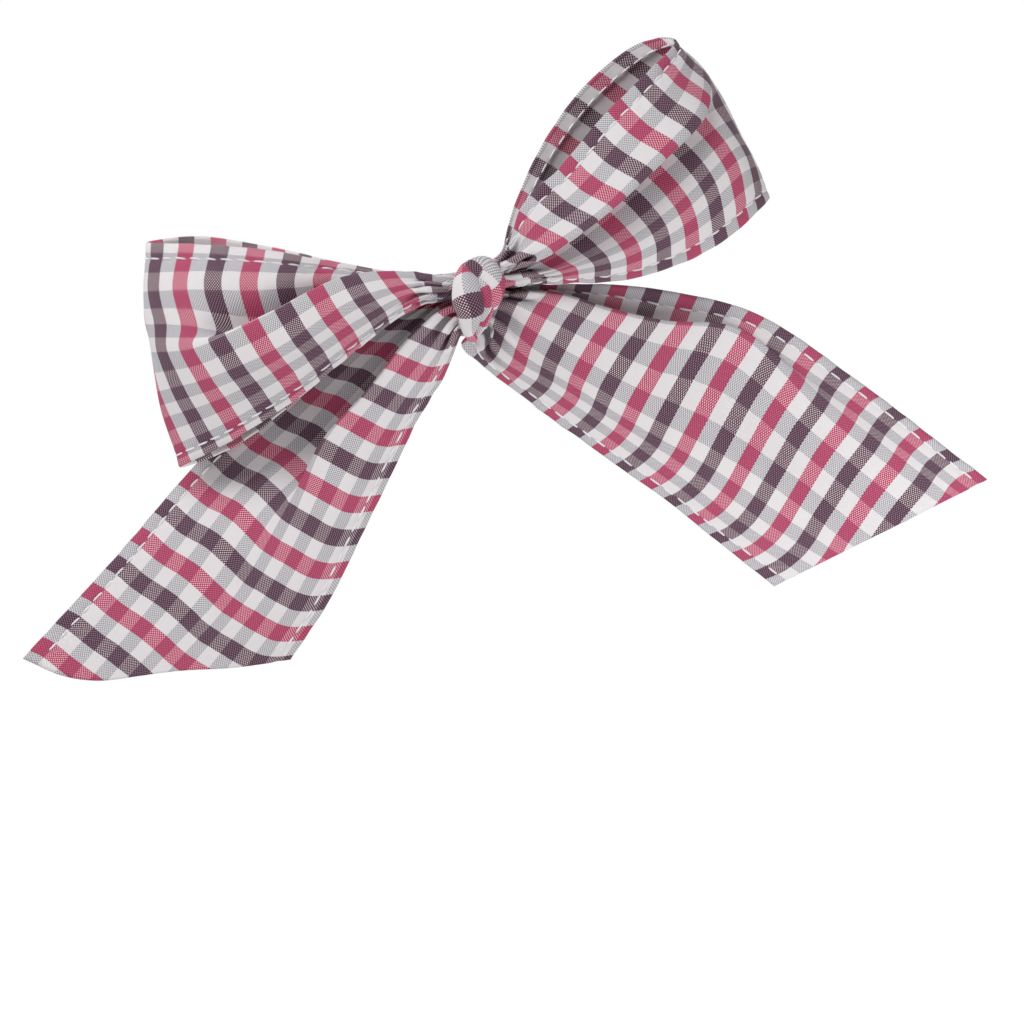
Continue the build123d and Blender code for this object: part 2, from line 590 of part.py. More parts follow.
# ---------------------------------------------------------------- clip: torsion spring
# The coil sits on the pin. Its two legs run under the levers and spread them apart.
coil_turns = 3
leg_reach = 6.5
wire_slack = 0.25
leg_radius = wire_radius - 0.02
start_angle = 117.0
coil_sweep = 270.0 - start_angle + 360.0 * coil_turns
coil_height = coil_pitch * coil_sweep / 360.0
coil_low_z = clip_z - coil_height / 2
pin_axis = Axis((pin_x, pin_y, clip_z), (0, 0, 1))
lever_run = lever_x - pin_x - ear_radius
lever_climb = lever_rise - lever_step
lever_y = back_hinge_y + lever_step + (leg_reach - ear_radius) / lever_run * lever_climb
leg_drop = (sheet / 2 + wire_radius + wire_slack) * math.hypot(lever_run, lever_climb) / lever_run
back_leg_end = Vector(pin_x + leg_reach, lever_y - leg_drop, coil_low_z)
front_leg_end = Vector(pin_x + leg_reach, front_inner_y + wire_radius + wire_slack, coil_low_z + coil_height)

with BuildPart() as coil_winding:
    with BuildLine() as coil:
        Helix(coil_pitch, coil_height, coil_radius, (pin_x, pin_y, coil_low_z))
    with BuildSketch(Plane(origin=coil.line @ 0, z_dir=coil.line % 0)):
        Circle(wire_radius)
    sweep(path=coil.line, is_frenet=True)

with BuildPart() as torsion_spring:
    add(coil_winding.part.rotate(pin_axis, start_angle))
    turned_coil = coil.line.rotate(pin_axis, start_angle)
    for leg_start, leg_end in ((turned_coil @ 0, back_leg_end), (turned_coil @ 1, front_leg_end)):
        with BuildSketch(Plane(origin=leg_start, z_dir=leg_end - leg_start)):
            Circle(leg_radius)
        extrude(amount=(leg_end - leg_start).length)
write(torsion_spring.part, "torsion_spring")
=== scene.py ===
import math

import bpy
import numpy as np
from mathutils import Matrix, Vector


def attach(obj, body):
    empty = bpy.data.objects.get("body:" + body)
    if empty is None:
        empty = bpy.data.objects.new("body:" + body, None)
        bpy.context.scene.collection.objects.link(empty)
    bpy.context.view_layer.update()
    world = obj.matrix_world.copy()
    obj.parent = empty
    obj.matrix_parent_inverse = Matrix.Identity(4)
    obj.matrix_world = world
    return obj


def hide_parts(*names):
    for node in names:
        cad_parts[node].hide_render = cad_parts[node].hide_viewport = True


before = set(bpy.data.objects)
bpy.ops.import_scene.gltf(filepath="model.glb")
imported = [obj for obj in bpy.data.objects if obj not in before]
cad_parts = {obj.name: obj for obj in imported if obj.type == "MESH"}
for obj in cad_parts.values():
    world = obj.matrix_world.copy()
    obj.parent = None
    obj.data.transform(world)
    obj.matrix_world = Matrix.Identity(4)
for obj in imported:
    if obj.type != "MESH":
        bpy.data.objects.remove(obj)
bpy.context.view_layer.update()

# %% [markdown]
# # A gingham hair bow
#
# The bow is sewn from three strips of woven gingham. One strip is a ring, pinched in
# the middle to make both loops. A second strip lies behind it and makes both tails. A
# narrow third strip is knotted round the gathers, and a sprung steel clip sits behind.
#
# The CAD model already gives the clip its exact shape and the cloth its place. Here the
# cloth gets its folds, hems, stitches and weave, and the metal gets its finish.

MM = 0.001

# %% [markdown]
# ## The camera
#
# A long lens at half a metre keeps the bow's outlines close to a straight projection,
# as a studio close-up does. The camera is level and looks along +Y at the bow's front.

# %% Camera
CAMERA_DISTANCE = 0.483
VIEW_CENTRE = (0.00544, -0.0369)

lens = bpy.data.cameras.new("camera")
lens.lens = 100
lens.clip_start = 0.01
camera = bpy.data.objects.new("camera", lens)
bpy.context.collection.objects.link(camera)
camera.location = (VIEW_CENTRE[0], -CAMERA_DISTANCE, VIEW_CENTRE[1])
camera.rotation_euler = (math.pi / 2, 0, 0)
bpy.context.scene.camera = camera
print("camera at", [round(value, 3) for value in camera.location])

# %% [markdown]
# ## Shader maths in plain Python
#
# Every finish below is worked out from the piece's own coordinates. A wire is a number
# on its way from one node to the next. Its operators add the Math nodes, so that a
# pattern can be written as a formula.

# %% A wire between nodes
class Wire:
    """The output of a node, with arithmetic."""

    def __init__(self, finish, output):
        self.finish = finish
        self.output = output

    def maths(self, operation, *values):
        """Add one Math node that works on this wire and on other wires or numbers."""
        inputs = dict(enumerate([self, *values]))
        return self.finish.node("ShaderNodeMath", {"operation": operation}, inputs)

    def __add__(self, other):
        return self.maths("ADD", other)

    def __sub__(self, other):
        return self.maths("SUBTRACT", other)

    def __mul__(self, other):
        return self.maths("MULTIPLY", other)

    def __truediv__(self, other):
        return self.maths("DIVIDE", other)

    def __gt__(self, other):
        return self.maths("GREATER_THAN", other)

    def __lt__(self, other):
        return self.maths("LESS_THAN", other)

    def fraction(self):
        return self.maths("FRACT")

    def sine(self):
        return self.maths("SINE")

    def size(self):
        return self.maths("ABSOLUTE")

    def limit(self):
        """Keep the number between 0 and 1."""
        return self.maths("MAXIMUM", 0).maths("MINIMUM", 1)


# %% A finish and the one method that makes its nodes
class Finish:
    """One material with a Principled shader."""

    def __init__(self, name, **constants):
        self.material = bpy.data.materials.new(name)
        self.material.use_nodes = True
        self.tree = self.material.node_tree
        self.shader = next(node for node in self.tree.nodes if node.type == "BSDF_PRINCIPLED")
        for socket, value in constants.items():
            self.shader.inputs[socket.replace("_", " ")].default_value = value

    def node(self, kind, settings=None, inputs=None, output=0):
        """Add a node, set it up, fill its sockets and give back one of its outputs."""
        made = self.tree.nodes.new(kind)
        for name, value in (settings or {}).items():
            setattr(made, name, value)
        for name, value in (inputs or {}).items():
            if isinstance(value, Wire):
                self.tree.links.new(value.output, made.inputs[name])
            else:
                made.inputs[name].default_value = value
        return Wire(self, made.outputs[output])

    def mix(self, first, second, share):
        """A colour on the way from first to second."""
        inputs = {"Factor": share, 6: first, 7: second}
        return self.node("ShaderNodeMix", {"data_type": "RGBA"}, inputs, output=2)

    def feed(self, socket, wire):
        self.tree.links.new(wire.output, self.shader.inputs[socket])

    def bump(self, height, distance, strength=1.0):
        """Raise the surface by a height in metres where the wire is 1."""
        inputs = {"Strength": strength, "Distance": distance, "Height": height}
        self.feed("Normal", self.node("ShaderNodeBump", None, inputs))

    def parts(self, vector):
        """The three numbers of a vector."""
        split = self.node("ShaderNodeSeparateXYZ", None, {0: vector})
        outputs = split.output.node.outputs
        return [Wire(self, outputs[i]) for i in range(3)]


def colour(red, green, blue):
    """A colour as it is seen on screen, from 0 to 255, as the shader wants it."""
    linear = []
    for value in (red, green, blue):
        share = value / 255
        linear.append(((share + 0.055) / 1.055) ** 2.4 if value > 10 else share / 12.92)
    return (*linear, 1)


# %% [markdown]
# ## The gingham
#
# Gingham is dyed in the yarn, so its checks are the weave itself: grey and white yarns
# run along the strip, and pink, white, purple and white ones across it. Where two
# colours cross, both show, one over and one under. The finish below weaves them in the
# same way. It reads a UV map that holds each point's place on the flat cloth, in
# millimetres, so that the checks follow every fold.

# %% The gingham's yarns, with sizes in millimetres
CHECK = 2.6
REPEAT = 12.3
YARN = 0.22
WANDER = 0.24
WHITE_YARN = colour(232, 227, 229)
GREY_YARN = colour(141, 140, 150)
PINK_YARN = colour(190, 32, 90)
PURPLE_YARN = colour(82, 26, 54)

# How much of the crosswise yarn shows at a crossing, how much more of it shows where it
# is dyed, and how much its going over and under changes that.
WEFT_SHOWS = 0.52
DYED_SHOWS_MORE = 0.43
OVER_AND_UNDER = 0.85
OVER_AND_UNDER_DYED = 0.3
UNEVEN_YARN = 0.5


def gingham(name):
    """The cloth of all three strips. Its UV map is a place on the flat cloth, in mm."""
    cloth = Finish(
        name, Roughness=0.78, Sheen_Weight=0.06, Sheen_Roughness=0.5, Specular_IOR_Level=0.25
    )
    place = cloth.node("ShaderNodeUVMap", {"uv_map": "cloth"})
    across, along, _ = cloth.parts(place)
    slow = cloth.node("ShaderNodeTexNoise", None, {"Vector": place, "Scale": 0.35, "Detail": 2.0})
    wander = slow * WANDER - WANDER / 2
    grey = ((across + wander) / (2 * CHECK)).fraction() < 0.5
    band = ((along + wander) / REPEAT + 0.125).fraction()
    pink = band < 0.25
    purple = (band > 0.5) * (band < 0.75)
    warp = cloth.mix(WHITE_YARN, GREY_YARN, grey)
    weft = cloth.mix(cloth.mix(WHITE_YARN, PINK_YARN, pink), PURPLE_YARN, purple)
    over = (across * (math.pi / YARN)).sine() * (along * (math.pi / YARN)).sine()
    dyed = pink + purple
    quick = cloth.node("ShaderNodeTexNoise", None, {"Vector": place, "Scale": 5.0, "Detail": 2.0})
    uneven = quick * UNEVEN_YARN - UNEVEN_YARN / 2
    swing = dyed * OVER_AND_UNDER_DYED + OVER_AND_UNDER
    weft_share = over * swing + dyed * DYED_SHOWS_MORE + WEFT_SHOWS + uneven
    woven = cloth.mix(warp, weft, weft_share.limit())
    cloth.feed("Base Color", woven)
    slub = cloth.node("ShaderNodeTexNoise", None, {"Vector": place, "Scale": 3.0, "Detail": 3.0})
    cloth.bump(over.size() * 0.6 + slub * 0.8, 0.05 * MM, 0.6)
    return cloth.material


gingham_cloth = gingham("gingham")
print("gingham:", len(gingham_cloth.node_tree.nodes), "nodes")

# %% [markdown]
# ## The strips' shape
#
# A strip of cloth is a sheet, so its shape is a grid of points: rows run along the
# strip, columns across it. Seven rows are given for each limb of the bow. They
# follow the two hems and the folds between them, from the knot to the limb's end. Each
# point is (along, across, depth): along in reaches of the limb, across in strip widths,
# and depth in fold depths, minus towards the front.
#
# `ROW_SHARES` says where on the flat cloth each of the seven rows lies, from the upper
# hem at 0 to the lower hem at 1.

# %% Sizes of the cloth, in millimetres
STRIP_WIDTH = 38.0
FOLD_DEPTH = 10.0
CLOTH_SEAT = -2.9
KNOT_HALF = 3.9
ROW_SHARES = [0.0, 0.16, 0.32, 0.45, 0.58, 0.79, 1.0]

# %% The left loop, from the knot out along its front and home along its back
LEFT_LOOP_FRONT = [
    [(0.00, 0.00, -0.26), (0.14, -0.045, -0.32), (0.34, -0.16, -0.36),
     (0.57, -0.30, -0.44), (0.78, -0.40, -0.29), (0.95, -0.48, 0.36)],
    [(0.00, 0.01, -0.32), (0.14, -0.025, -0.36), (0.34, -0.09, -0.46),
     (0.60, -0.15, -0.64), (0.82, -0.22, -0.49), (0.99, -0.28, 0.32)],
    [(0.00, 0.02, -0.30), (0.17, 0.01, -0.28), (0.38, 0.04, -0.30),
     (0.66, 0.06, -0.42), (0.86, -0.05, -0.49), (1.01, -0.12, 0.30)],
    [(0.00, 0.03, -0.52), (0.13, -0.05, -0.72), (0.34, -0.10, -0.84),
     (0.63, -0.01, -0.84), (0.85, 0.04, -0.64), (1.01, -0.01, 0.28)],
    [(0.00, 0.05, -0.60), (0.14, -0.01, -0.78), (0.33, -0.01, -0.90),
     (0.61, 0.12, -0.86), (0.84, 0.17, -0.59), (1.02, 0.16, 0.30)],
    [(0.00, 0.07, -0.58), (0.14, 0.04, -0.74), (0.32, 0.11, -0.80),
     (0.59, 0.24, -0.70), (0.83, 0.32, -0.44), (1.02, 0.34, 0.33)],
    [(0.00, 0.09, -0.52), (0.14, 0.09, -0.64), (0.32, 0.19, -0.64),
     (0.56, 0.35, -0.50), (0.81, 0.47, -0.24), (1.01, 0.53, 0.36)],
]
LEFT_LOOP_BACK = [
    [(0.79, -0.47, 0.76), (0.58, -0.35, 0.66), (0.36, -0.18, 0.02),
     (0.14, -0.05, -0.12), (0.00, 0.00, -0.08)],
    [(0.84, -0.25, 0.88), (0.61, -0.16, 0.74), (0.37, -0.10, -0.04),
     (0.15, -0.03, -0.12), (0.00, 0.01, -0.08)],
    [(0.86, -0.07, 0.91), (0.64, 0.00, 0.72), (0.38, -0.03, -0.06),
     (0.15, -0.01, -0.12), (0.00, 0.02, -0.08)],
    [(0.86, 0.05, 0.88), (0.63, 0.09, 0.66), (0.38, 0.02, -0.08),
     (0.15, 0.01, -0.13), (0.00, 0.03, -0.08)],
    [(0.85, 0.21, 0.74), (0.62, 0.18, 0.48), (0.37, 0.07, -0.12),
     (0.15, 0.03, -0.16), (0.00, 0.04, -0.08)],
    [(0.84, 0.36, 0.54), (0.60, 0.29, 0.18), (0.35, 0.13, -0.22),
     (0.15, 0.05, -0.22), (0.00, 0.06, -0.08)],
    [(0.82, 0.50, 0.26), (0.58, 0.36, -0.02), (0.34, 0.19, -0.34),
     (0.15, 0.07, -0.30), (0.00, 0.07, -0.08)],
]

# %% The right loop, out along its front and home along its back
RIGHT_LOOP_FRONT = [
    [(0.01, 0.035, -0.40), (0.19, 0.17, -0.64), (0.38, 0.21, -0.84),
     (0.60, 0.28, -0.94), (0.83, 0.33, -0.79), (1.02, 0.40, 0.06)],
    [(0.015, 0.01, -0.54), (0.19, 0.04, -0.84), (0.39, 0.05, -1.06),
     (0.63, 0.12, -1.14), (0.87, 0.19, -0.94), (1.03, 0.31, 0.06)],
    [(0.02, -0.01, -0.60), (0.15, -0.07, -0.94), (0.40, -0.08, -1.18),
     (0.66, -0.04, -1.24), (0.92, 0.03, -0.94), (1.04, 0.21, 0.06)],
    [(0.02, -0.03, -0.42), (0.15, -0.05, -0.58), (0.39, -0.01, -0.64),
     (0.65, 0.04, -0.68), (0.91, 0.05, -0.54), (1.04, 0.06, 0.11)],
    [(0.01, -0.05, -0.48), (0.15, -0.12, -0.66), (0.40, -0.15, -0.76),
     (0.68, -0.13, -0.80), (0.95, -0.08, -0.49), (1.02, -0.09, 0.16)],
    [(0.01, -0.08, -0.50), (0.15, -0.16, -0.68), (0.40, -0.27, -0.78),
     (0.67, -0.29, -0.74), (0.94, -0.24, -0.46), (1.00, -0.26, 0.21)],
    [(0.01, -0.10, -0.46), (0.14, -0.20, -0.60), (0.35, -0.35, -0.60),
     (0.60, -0.44, -0.54), (0.81, -0.45, -0.32), (0.98, -0.40, 0.26)],
]
RIGHT_LOOP_BACK = [
    [(0.91, 0.49, 0.36), (0.65, 0.47, 0.11), (0.40, 0.36, -0.08),
     (0.19, 0.21, -0.14), (0.01, 0.055, -0.08)],
    [(0.93, 0.31, 0.46), (0.70, 0.28, 0.31), (0.43, 0.20, 0.06),
     (0.20, 0.10, -0.12), (0.01, 0.03, -0.08)],
    [(0.94, 0.16, 0.52), (0.71, 0.09, 0.41), (0.45, 0.03, 0.12),
     (0.21, 0.00, -0.11), (0.01, 0.00, -0.08)],
    [(0.94, 0.04, 0.54), (0.71, -0.02, 0.42), (0.45, -0.04, 0.10),
     (0.19, -0.05, -0.11), (0.01, -0.01, -0.08)],
    [(0.94, -0.09, 0.54), (0.70, -0.12, 0.42), (0.44, -0.12, 0.04),
     (0.18, -0.10, -0.11), (0.01, -0.03, -0.08)],
    [(0.90, -0.26, 0.48), (0.68, -0.26, 0.34), (0.41, -0.22, -0.06),
     (0.17, -0.15, -0.12), (0.01, -0.05, -0.08)],
    [(0.85, -0.41, 0.40), (0.64, -0.39, 0.22), (0.39, -0.31, -0.12),
     (0.16, -0.18, -0.14), (0.01, -0.08, -0.08)],
]

# %% The left tail, from the knot to its cut end
LEFT_TAIL = [
    [(-0.02, -0.10, -0.04), (0.05, -0.22, -0.08), (0.21, -0.32, 0.12), (0.42, -0.40, 0.50),
     (0.61, -0.45, 0.66), (0.88, -0.45, 0.56), (1.18, -0.47, 0.50)],
    [(-0.02, -0.08, -0.04), (0.07, -0.16, -0.08), (0.23, -0.23, 0.06), (0.42, -0.27, 0.36),
     (0.61, -0.31, 0.50), (0.86, -0.29, 0.44), (1.15, -0.28, 0.44)],
    [(-0.02, -0.05, -0.04), (0.09, -0.11, -0.08), (0.25, -0.13, 0.01), (0.42, -0.14, 0.22),
     (0.59, -0.18, 0.34), (0.83, -0.14, 0.32), (1.10, -0.13, 0.38)],
    [(-0.02, -0.03, -0.04), (0.10, -0.05, -0.04), (0.26, 0.00, 0.00), (0.41, -0.02, 0.10),
     (0.58, -0.05, 0.20), (0.79, 0.00, 0.24), (1.04, -0.02, 0.34)],
    [(-0.01, -0.02, -0.40), (0.09, -0.08, -0.40), (0.25, -0.07, -0.30), (0.40, -0.08, -0.12),
     (0.54, 0.00, 0.06), (0.76, 0.09, 0.18), (0.98, 0.09, 0.30)],
    [(0.00, 0.03, -0.46), (0.11, 0.04, -0.44), (0.23, 0.06, -0.36), (0.37, 0.10, -0.22),
     (0.52, 0.17, -0.06), (0.71, 0.25, 0.12), (0.89, 0.28, 0.30)],
    [(0.01, 0.08, -0.44), (0.12, 0.14, -0.38), (0.22, 0.17, -0.28), (0.35, 0.24, -0.14),
     (0.48, 0.31, -0.02), (0.65, 0.40, 0.14), (0.80, 0.44, 0.34)],
]

# %% The right tail, from the knot to its cut end
RIGHT_TAIL = [
    [(0.00, 0.14, -0.04), (0.08, 0.23, -0.04), (0.18, 0.34, 0.00), (0.31, 0.46, 0.04),
     (0.50, 0.56, 0.06), (0.77, 0.53, 0.20), (1.15, 0.43, 0.46)],
    [(0.01, 0.11, -0.04), (0.10, 0.18, -0.04), (0.22, 0.25, 0.02), (0.36, 0.31, 0.08),
     (0.51, 0.44, 0.06), (0.76, 0.43, 0.18), (1.12, 0.34, 0.48)],
    [(0.02, 0.11, -0.36), (0.10, 0.20, -0.38), (0.23, 0.26, -0.36), (0.34, 0.33, -0.30),
     (0.49, 0.46, -0.12), (0.76, 0.34, 0.12), (1.09, 0.25, 0.50)],
    [(0.02, 0.07, -0.50), (0.12, 0.10, -0.48), (0.25, 0.12, -0.34), (0.37, 0.15, -0.16),
     (0.52, 0.22, 0.04), (0.75, 0.16, 0.28), (1.03, 0.07, 0.52)],
    [(0.01, -0.01, -0.46), (0.11, -0.04, -0.38), (0.25, -0.05, -0.23), (0.40, -0.05, -0.24),
     (0.55, -0.03, -0.12), (0.74, -0.04, 0.14), (0.97, -0.10, 0.46)],
    [(0.01, -0.06, -0.42), (0.03, -0.14, -0.44), (0.22, -0.17, -0.27), (0.39, -0.19, -0.08),
     (0.56, -0.22, 0.04), (0.73, -0.26, 0.22), (0.91, -0.27, 0.41)],
    [(0.00, -0.10, -0.40), (-0.03, -0.185, -0.48), (0.15, -0.255, -0.24), (0.38, -0.31, -0.10),
     (0.54, -0.34, 0.00), (0.69, -0.39, 0.16), (0.85, -0.44, 0.36)],
]

# %% [markdown]
# ## From rows to a smooth sheet
#
# A smooth curve is drawn through each row, and read at even steps. Then a curve is drawn
# across the seven rows in every column, and read at even steps of the cloth's width.

# %% Smooth curves through points
def smooth(knots, values, places):
    """Read a smooth curve that passes through values at the knots."""
    knots, values = np.asarray(knots, float), np.asarray(values, float)
    gaps = np.diff(knots).reshape(-1, *[1] * (values.ndim - 1))
    slopes = np.diff(values, axis=0) / gaps
    inner = (slopes[:-1] * gaps[1:] + slopes[1:] * gaps[:-1]) / (gaps[:-1] + gaps[1:])
    turns = np.concatenate([slopes[:1], inner, slopes[-1:]])
    span = np.clip(np.searchsorted(knots, places) - 1, 0, len(knots) - 2)
    shape = (-1, *[1] * (values.ndim - 1))
    gap = np.diff(knots)[span].reshape(shape)
    t = ((places - knots[span]) / np.diff(knots)[span]).reshape(shape)
    start = values[span] * (1 + 2 * t) * (1 - t) ** 2 + turns[span] * gap * t * (1 - t) ** 2
    return start + values[span + 1] * t * t * (3 - 2 * t) - turns[span + 1] * gap * t * t * (1 - t)


def lengths_along(points):
    """How far along the line each of its points lies."""
    steps = np.linalg.norm(np.diff(points, axis=0), axis=1)
    return np.concatenate([[0.0], np.cumsum(steps)])


def even_row(points, count):
    """count points at even steps on a smooth curve through the given ones."""
    steps = np.sqrt(np.linalg.norm(np.diff(points, axis=0), axis=1))
    knots = np.concatenate([[0.0], np.cumsum(steps)])
    fine = smooth(knots, points, np.linspace(0, knots[-1], 16 * len(points)))
    reached = lengths_along(fine)
    places = np.linspace(0, reached[-1], count)
    return np.stack([np.interp(places, reached, fine[:, k]) for k in range(3)], axis=1)


# %% Placing a limb's rows behind the knot
def placed(rows, knot, reach, lean):
    """A limb's rows as points in millimetres. knot is (x, z), lean in degrees."""
    rows = np.array(rows)
    ahead = np.array([math.cos(math.radians(lean)), math.sin(math.radians(lean))])
    along, across = rows[..., 0] * reach, rows[..., 1] * STRIP_WIDTH
    x = knot[0] + along * ahead[0] - across * ahead[1]
    z = knot[1] + along * ahead[1] + across * ahead[0]
    return np.stack([x, CLOTH_SEAT + rows[..., 2] * FOLD_DEPTH, z], axis=-1)


# Where each limb starts behind the knot, how far it reaches and which way it leans.
LEFT_LOOP_SEAT = ((-KNOT_HALF, 2.55), 52.7, -166.9)
RIGHT_LOOP_SEAT = ((KNOT_HALF, 3.91), 45.3, 34.8)
LEFT_TAIL_SEAT = ((-KNOT_HALF, -3.4), 78.6, -130.8)
RIGHT_TAIL_SEAT = ((2.55, -3.4), 75.4, -29.3)

left_front = placed(LEFT_LOOP_FRONT, *LEFT_LOOP_SEAT)
left_back = placed(LEFT_LOOP_BACK, *LEFT_LOOP_SEAT)
right_front = placed(RIGHT_LOOP_FRONT, *RIGHT_LOOP_SEAT)
right_back = placed(RIGHT_LOOP_BACK, *RIGHT_LOOP_SEAT)
left_tail = placed(LEFT_TAIL, *LEFT_TAIL_SEAT)
right_tail = placed(RIGHT_TAIL, *RIGHT_TAIL_SEAT)

seam_start = right_back[:, -1:] * 0.54 + left_back[:, -1:] * 0.46
seam_end = right_back[:, -1:] * 0.46 + left_back[:, -1:] * 0.54
loop_rows = np.concatenate(
    [seam_start, right_back[:, ::-1], right_front[:, ::-1], left_front, left_back, seam_end], axis=1
)
tail_rows = np.concatenate([left_tail[:, ::-1], right_tail], axis=1)
print("loop strip rows:", loop_rows.shape, "tail strip rows:", tail_rows.shape)


# %% The sheet's grid
ROWS = 39
STEP = 1.0


def sheet_grid(rows):
    """The grid of a strip: ROWS points across, one about every STEP along."""
    longest = max(lengths_along(row)[-1] for row in rows)
    columns = int(longest / STEP)
    even = np.stack([even_row(row, columns) for row in rows])
    return smooth(ROW_SHARES, even, np.linspace(0, 1, ROWS))


loop_grid = sheet_grid(loop_rows)
tail_grid = sheet_grid(tail_rows)
print("loop grid", loop_grid.shape, "tail grid", tail_grid.shape)

# %% [markdown]
# ## The flat cloth
#
# Every point also has a place on the flat cloth: how far across it lies, and how far
# along. The lengths along are evened out from row to row, because every thread of the
# weft crosses the whole strip.

# %% Places on the flat cloth
def smooth_rows(values, rounds=30):
    """Even out numbers from row to row."""
    for _ in range(rounds):
        padded = np.pad(values, ((1, 1), (0, 0)), mode="edge")
        values = (padded[:-2] + 2 * values + padded[2:]) / 4
    return values


def flat_places(grid, start):
    """(across, along) on the flat cloth, in millimetres, with along 0 at a column."""
    across = np.linspace(0, STRIP_WIDTH, len(grid))
    reached = smooth_rows(np.stack([lengths_along(row) for row in grid]))
    along = reached - reached[:, [start]]
    return np.stack([np.broadcast_to(across[:, None], along.shape), along], axis=-1)


def nearest_column(grid, point):
    """The column whose middle point lies nearest to a given point."""
    return int(np.linalg.norm(grid[len(grid) // 2] - point, axis=1).argmin())


right_end = nearest_column(loop_grid, right_front[3, -1])
left_end = nearest_column(loop_grid, left_front[3, -1])
tail_root = nearest_column(tail_grid, (left_tail[3, 0] + right_tail[3, 0]) / 2)
loop_flat = flat_places(loop_grid, (right_end + left_end) // 2)
tail_flat = flat_places(tail_grid, tail_root)
loop_length = lengths_along(loop_grid[ROWS // 2])[-1]
tail_length = lengths_along(tail_grid[ROWS // 2])[-1]
print("loop ring, mm:", round(loop_length, 1), "tail strip, mm:", round(tail_length, 1))


# %% [markdown]
# ## Letting the cloth settle
#
# The rows place the large folds, but the sheet between them isn't quite as wide and long
# everywhere as the flat cloth it was cut from. Cloth bends easily and hardly stretches.
# So the sheet is settled: in many small rounds every short length of cloth goes back
# towards its flat length, while each point is drawn gently to where it was. What is
# left over has to buckle, and that gives the small folds that run out of the knot.

# %% The settling rounds
# Each short length of cloth: rows down, columns along, and how strongly its flat length
# is kept. The last two reach over a point and only push: they keep the cloth from creasing.
BENDING = 0.25
SHORT_LENGTHS = [(0, 1, 1.0), (1, 0, 1.0), (1, 1, 0.3), (1, -1, 0.3), (0, 2, BENDING), (2, 0, BENDING)]
ROUND_SPEED = 1.6


def settle(grid, flat, rounds, hold_face, hold_depth):
    """Bring the sheet back to its flat lengths and let the spare cloth fold."""
    points, goal = grid.copy(), grid.copy()
    hold = np.stack([hold_face, hold_depth, hold_face], axis=-1)
    pairs = []
    for down, right, strength in SHORT_LENGTHS:
        first = (slice(0, ROWS - down), slice(max(0, -right), points.shape[1] - max(0, right)))
        second = (slice(down, ROWS), slice(max(0, right), points.shape[1] - max(0, -right)))
        rest = np.linalg.norm(flat[second] - flat[first], axis=-1, keepdims=True)
        pairs.append((first, second, rest, strength))
    for _ in range(rounds):
        move = np.zeros_like(points)
        count = np.zeros((*points.shape[:2], 1))
        for first, second, rest, strength in pairs:
            apart = points[second] - points[first]
            length = np.linalg.norm(apart, axis=-1, keepdims=True) + 1e-9
            pull = apart * ((length - rest) / length * 0.5 * strength)
            if strength == BENDING:
                pull = pull * (length < rest)
            move[first] += pull
            move[second] -= pull
            count[first] += strength
            count[second] += strength
        points += move / count * ROUND_SPEED
        points += (goal - points) * hold
    return points


def stretch_report(name, grid, flat):
    """Print how far the cloth is from its flat size."""
    width = np.linalg.norm(np.diff(grid, axis=0), axis=-1).sum(0)
    steps = np.linalg.norm(np.diff(grid, axis=1), axis=-1)
    stretch = steps / np.abs(np.diff(flat[..., 1], axis=1)).clip(1e-6)
    print(name, "width, mm:", width.min().round(1), "to", width.max().round(1))
    print(name, "stretch along:", np.percentile(stretch, [2, 50, 98]).round(2))


# %% Smooth away what real cloth is too stiff for
GATHERS_END = 9.0
CALM_FROM = 25.0


def calmed(moved, grid, rounds):
    """Smooth how far the cloth has moved, less and less towards the gathers at the knot."""
    from_knot = np.hypot(grid[..., 0], grid[..., 2])
    away = np.clip((from_knot - GATHERS_END) / (CALM_FROM - GATHERS_END), 0, 1)[..., None]
    for _ in range(rounds):
        between = moved.copy()
        between[1:-1] = (moved[:-2] + moved[2:]) / 2
        moved = moved + (between - moved) * 0.5 * away
    return moved


# %% Settle both strips
SETTLING_ROUNDS = 400
CALMING_ROUNDS = 24
GATHER_HEIGHT = 0.25
GATHER_REACH = 26.0
HEM_SHARE = 0.06


def settled(name, grid, flat):
    """A strip's grid after it has settled. The hems keep their place best."""
    reach = np.hypot(grid[..., 0], grid[..., 2]) / GATHER_REACH
    share = np.linspace(0, 1, ROWS)[:, None]
    wander = np.sin(np.arange(grid.shape[1]) * 0.09)[None, :]
    wave = np.sin(share * 2 * math.pi * 4 + wander) + 0.6 * np.sin(share * 2 * math.pi * 7 + 2 - wander)
    start = grid.copy()
    start[..., 1] += GATHER_HEIGHT * wave * np.clip(1 - reach, 0, 1)
    hem = np.clip(1 - np.minimum(share, 1 - share) / HEM_SHARE, 0, 1)
    hold_face = np.broadcast_to(0.05 + 0.15 * hem, grid.shape[:2])
    hold_depth = np.broadcast_to(0.012 + 0.05 * hem, grid.shape[:2])
    stretch_report(name + " before", start, flat)
    moved = settle(start, flat, SETTLING_ROUNDS, hold_face, hold_depth) - grid
    done = grid + calmed(moved, grid, CALMING_ROUNDS)
    stretch_report(name + " settled", done, flat)
    return done


loop_grid = settled("loop strip", loop_grid, loop_flat)
tail_grid = settled("tail strip", tail_grid, tail_flat)


# %% A finer grid for the finished cloth
FINE_ROWS = 77
FINE_STEP = 0.62


def finer(values, columns):
    """The same sheet with more rows and columns."""
    rows = smooth(np.linspace(0, 1, len(values)), values, np.linspace(0, 1, FINE_ROWS))
    turned = np.swapaxes(rows, 0, 1)
    turned = smooth(np.linspace(0, 1, len(turned)), turned, np.linspace(0, 1, columns))
    return np.swapaxes(turned, 0, 1)


def fine_column(column, old_grid, new_grid):
    """Where a column of the old grid lies in the new one."""
    return round(column / (old_grid.shape[1] - 1) * (new_grid.shape[1] - 1))


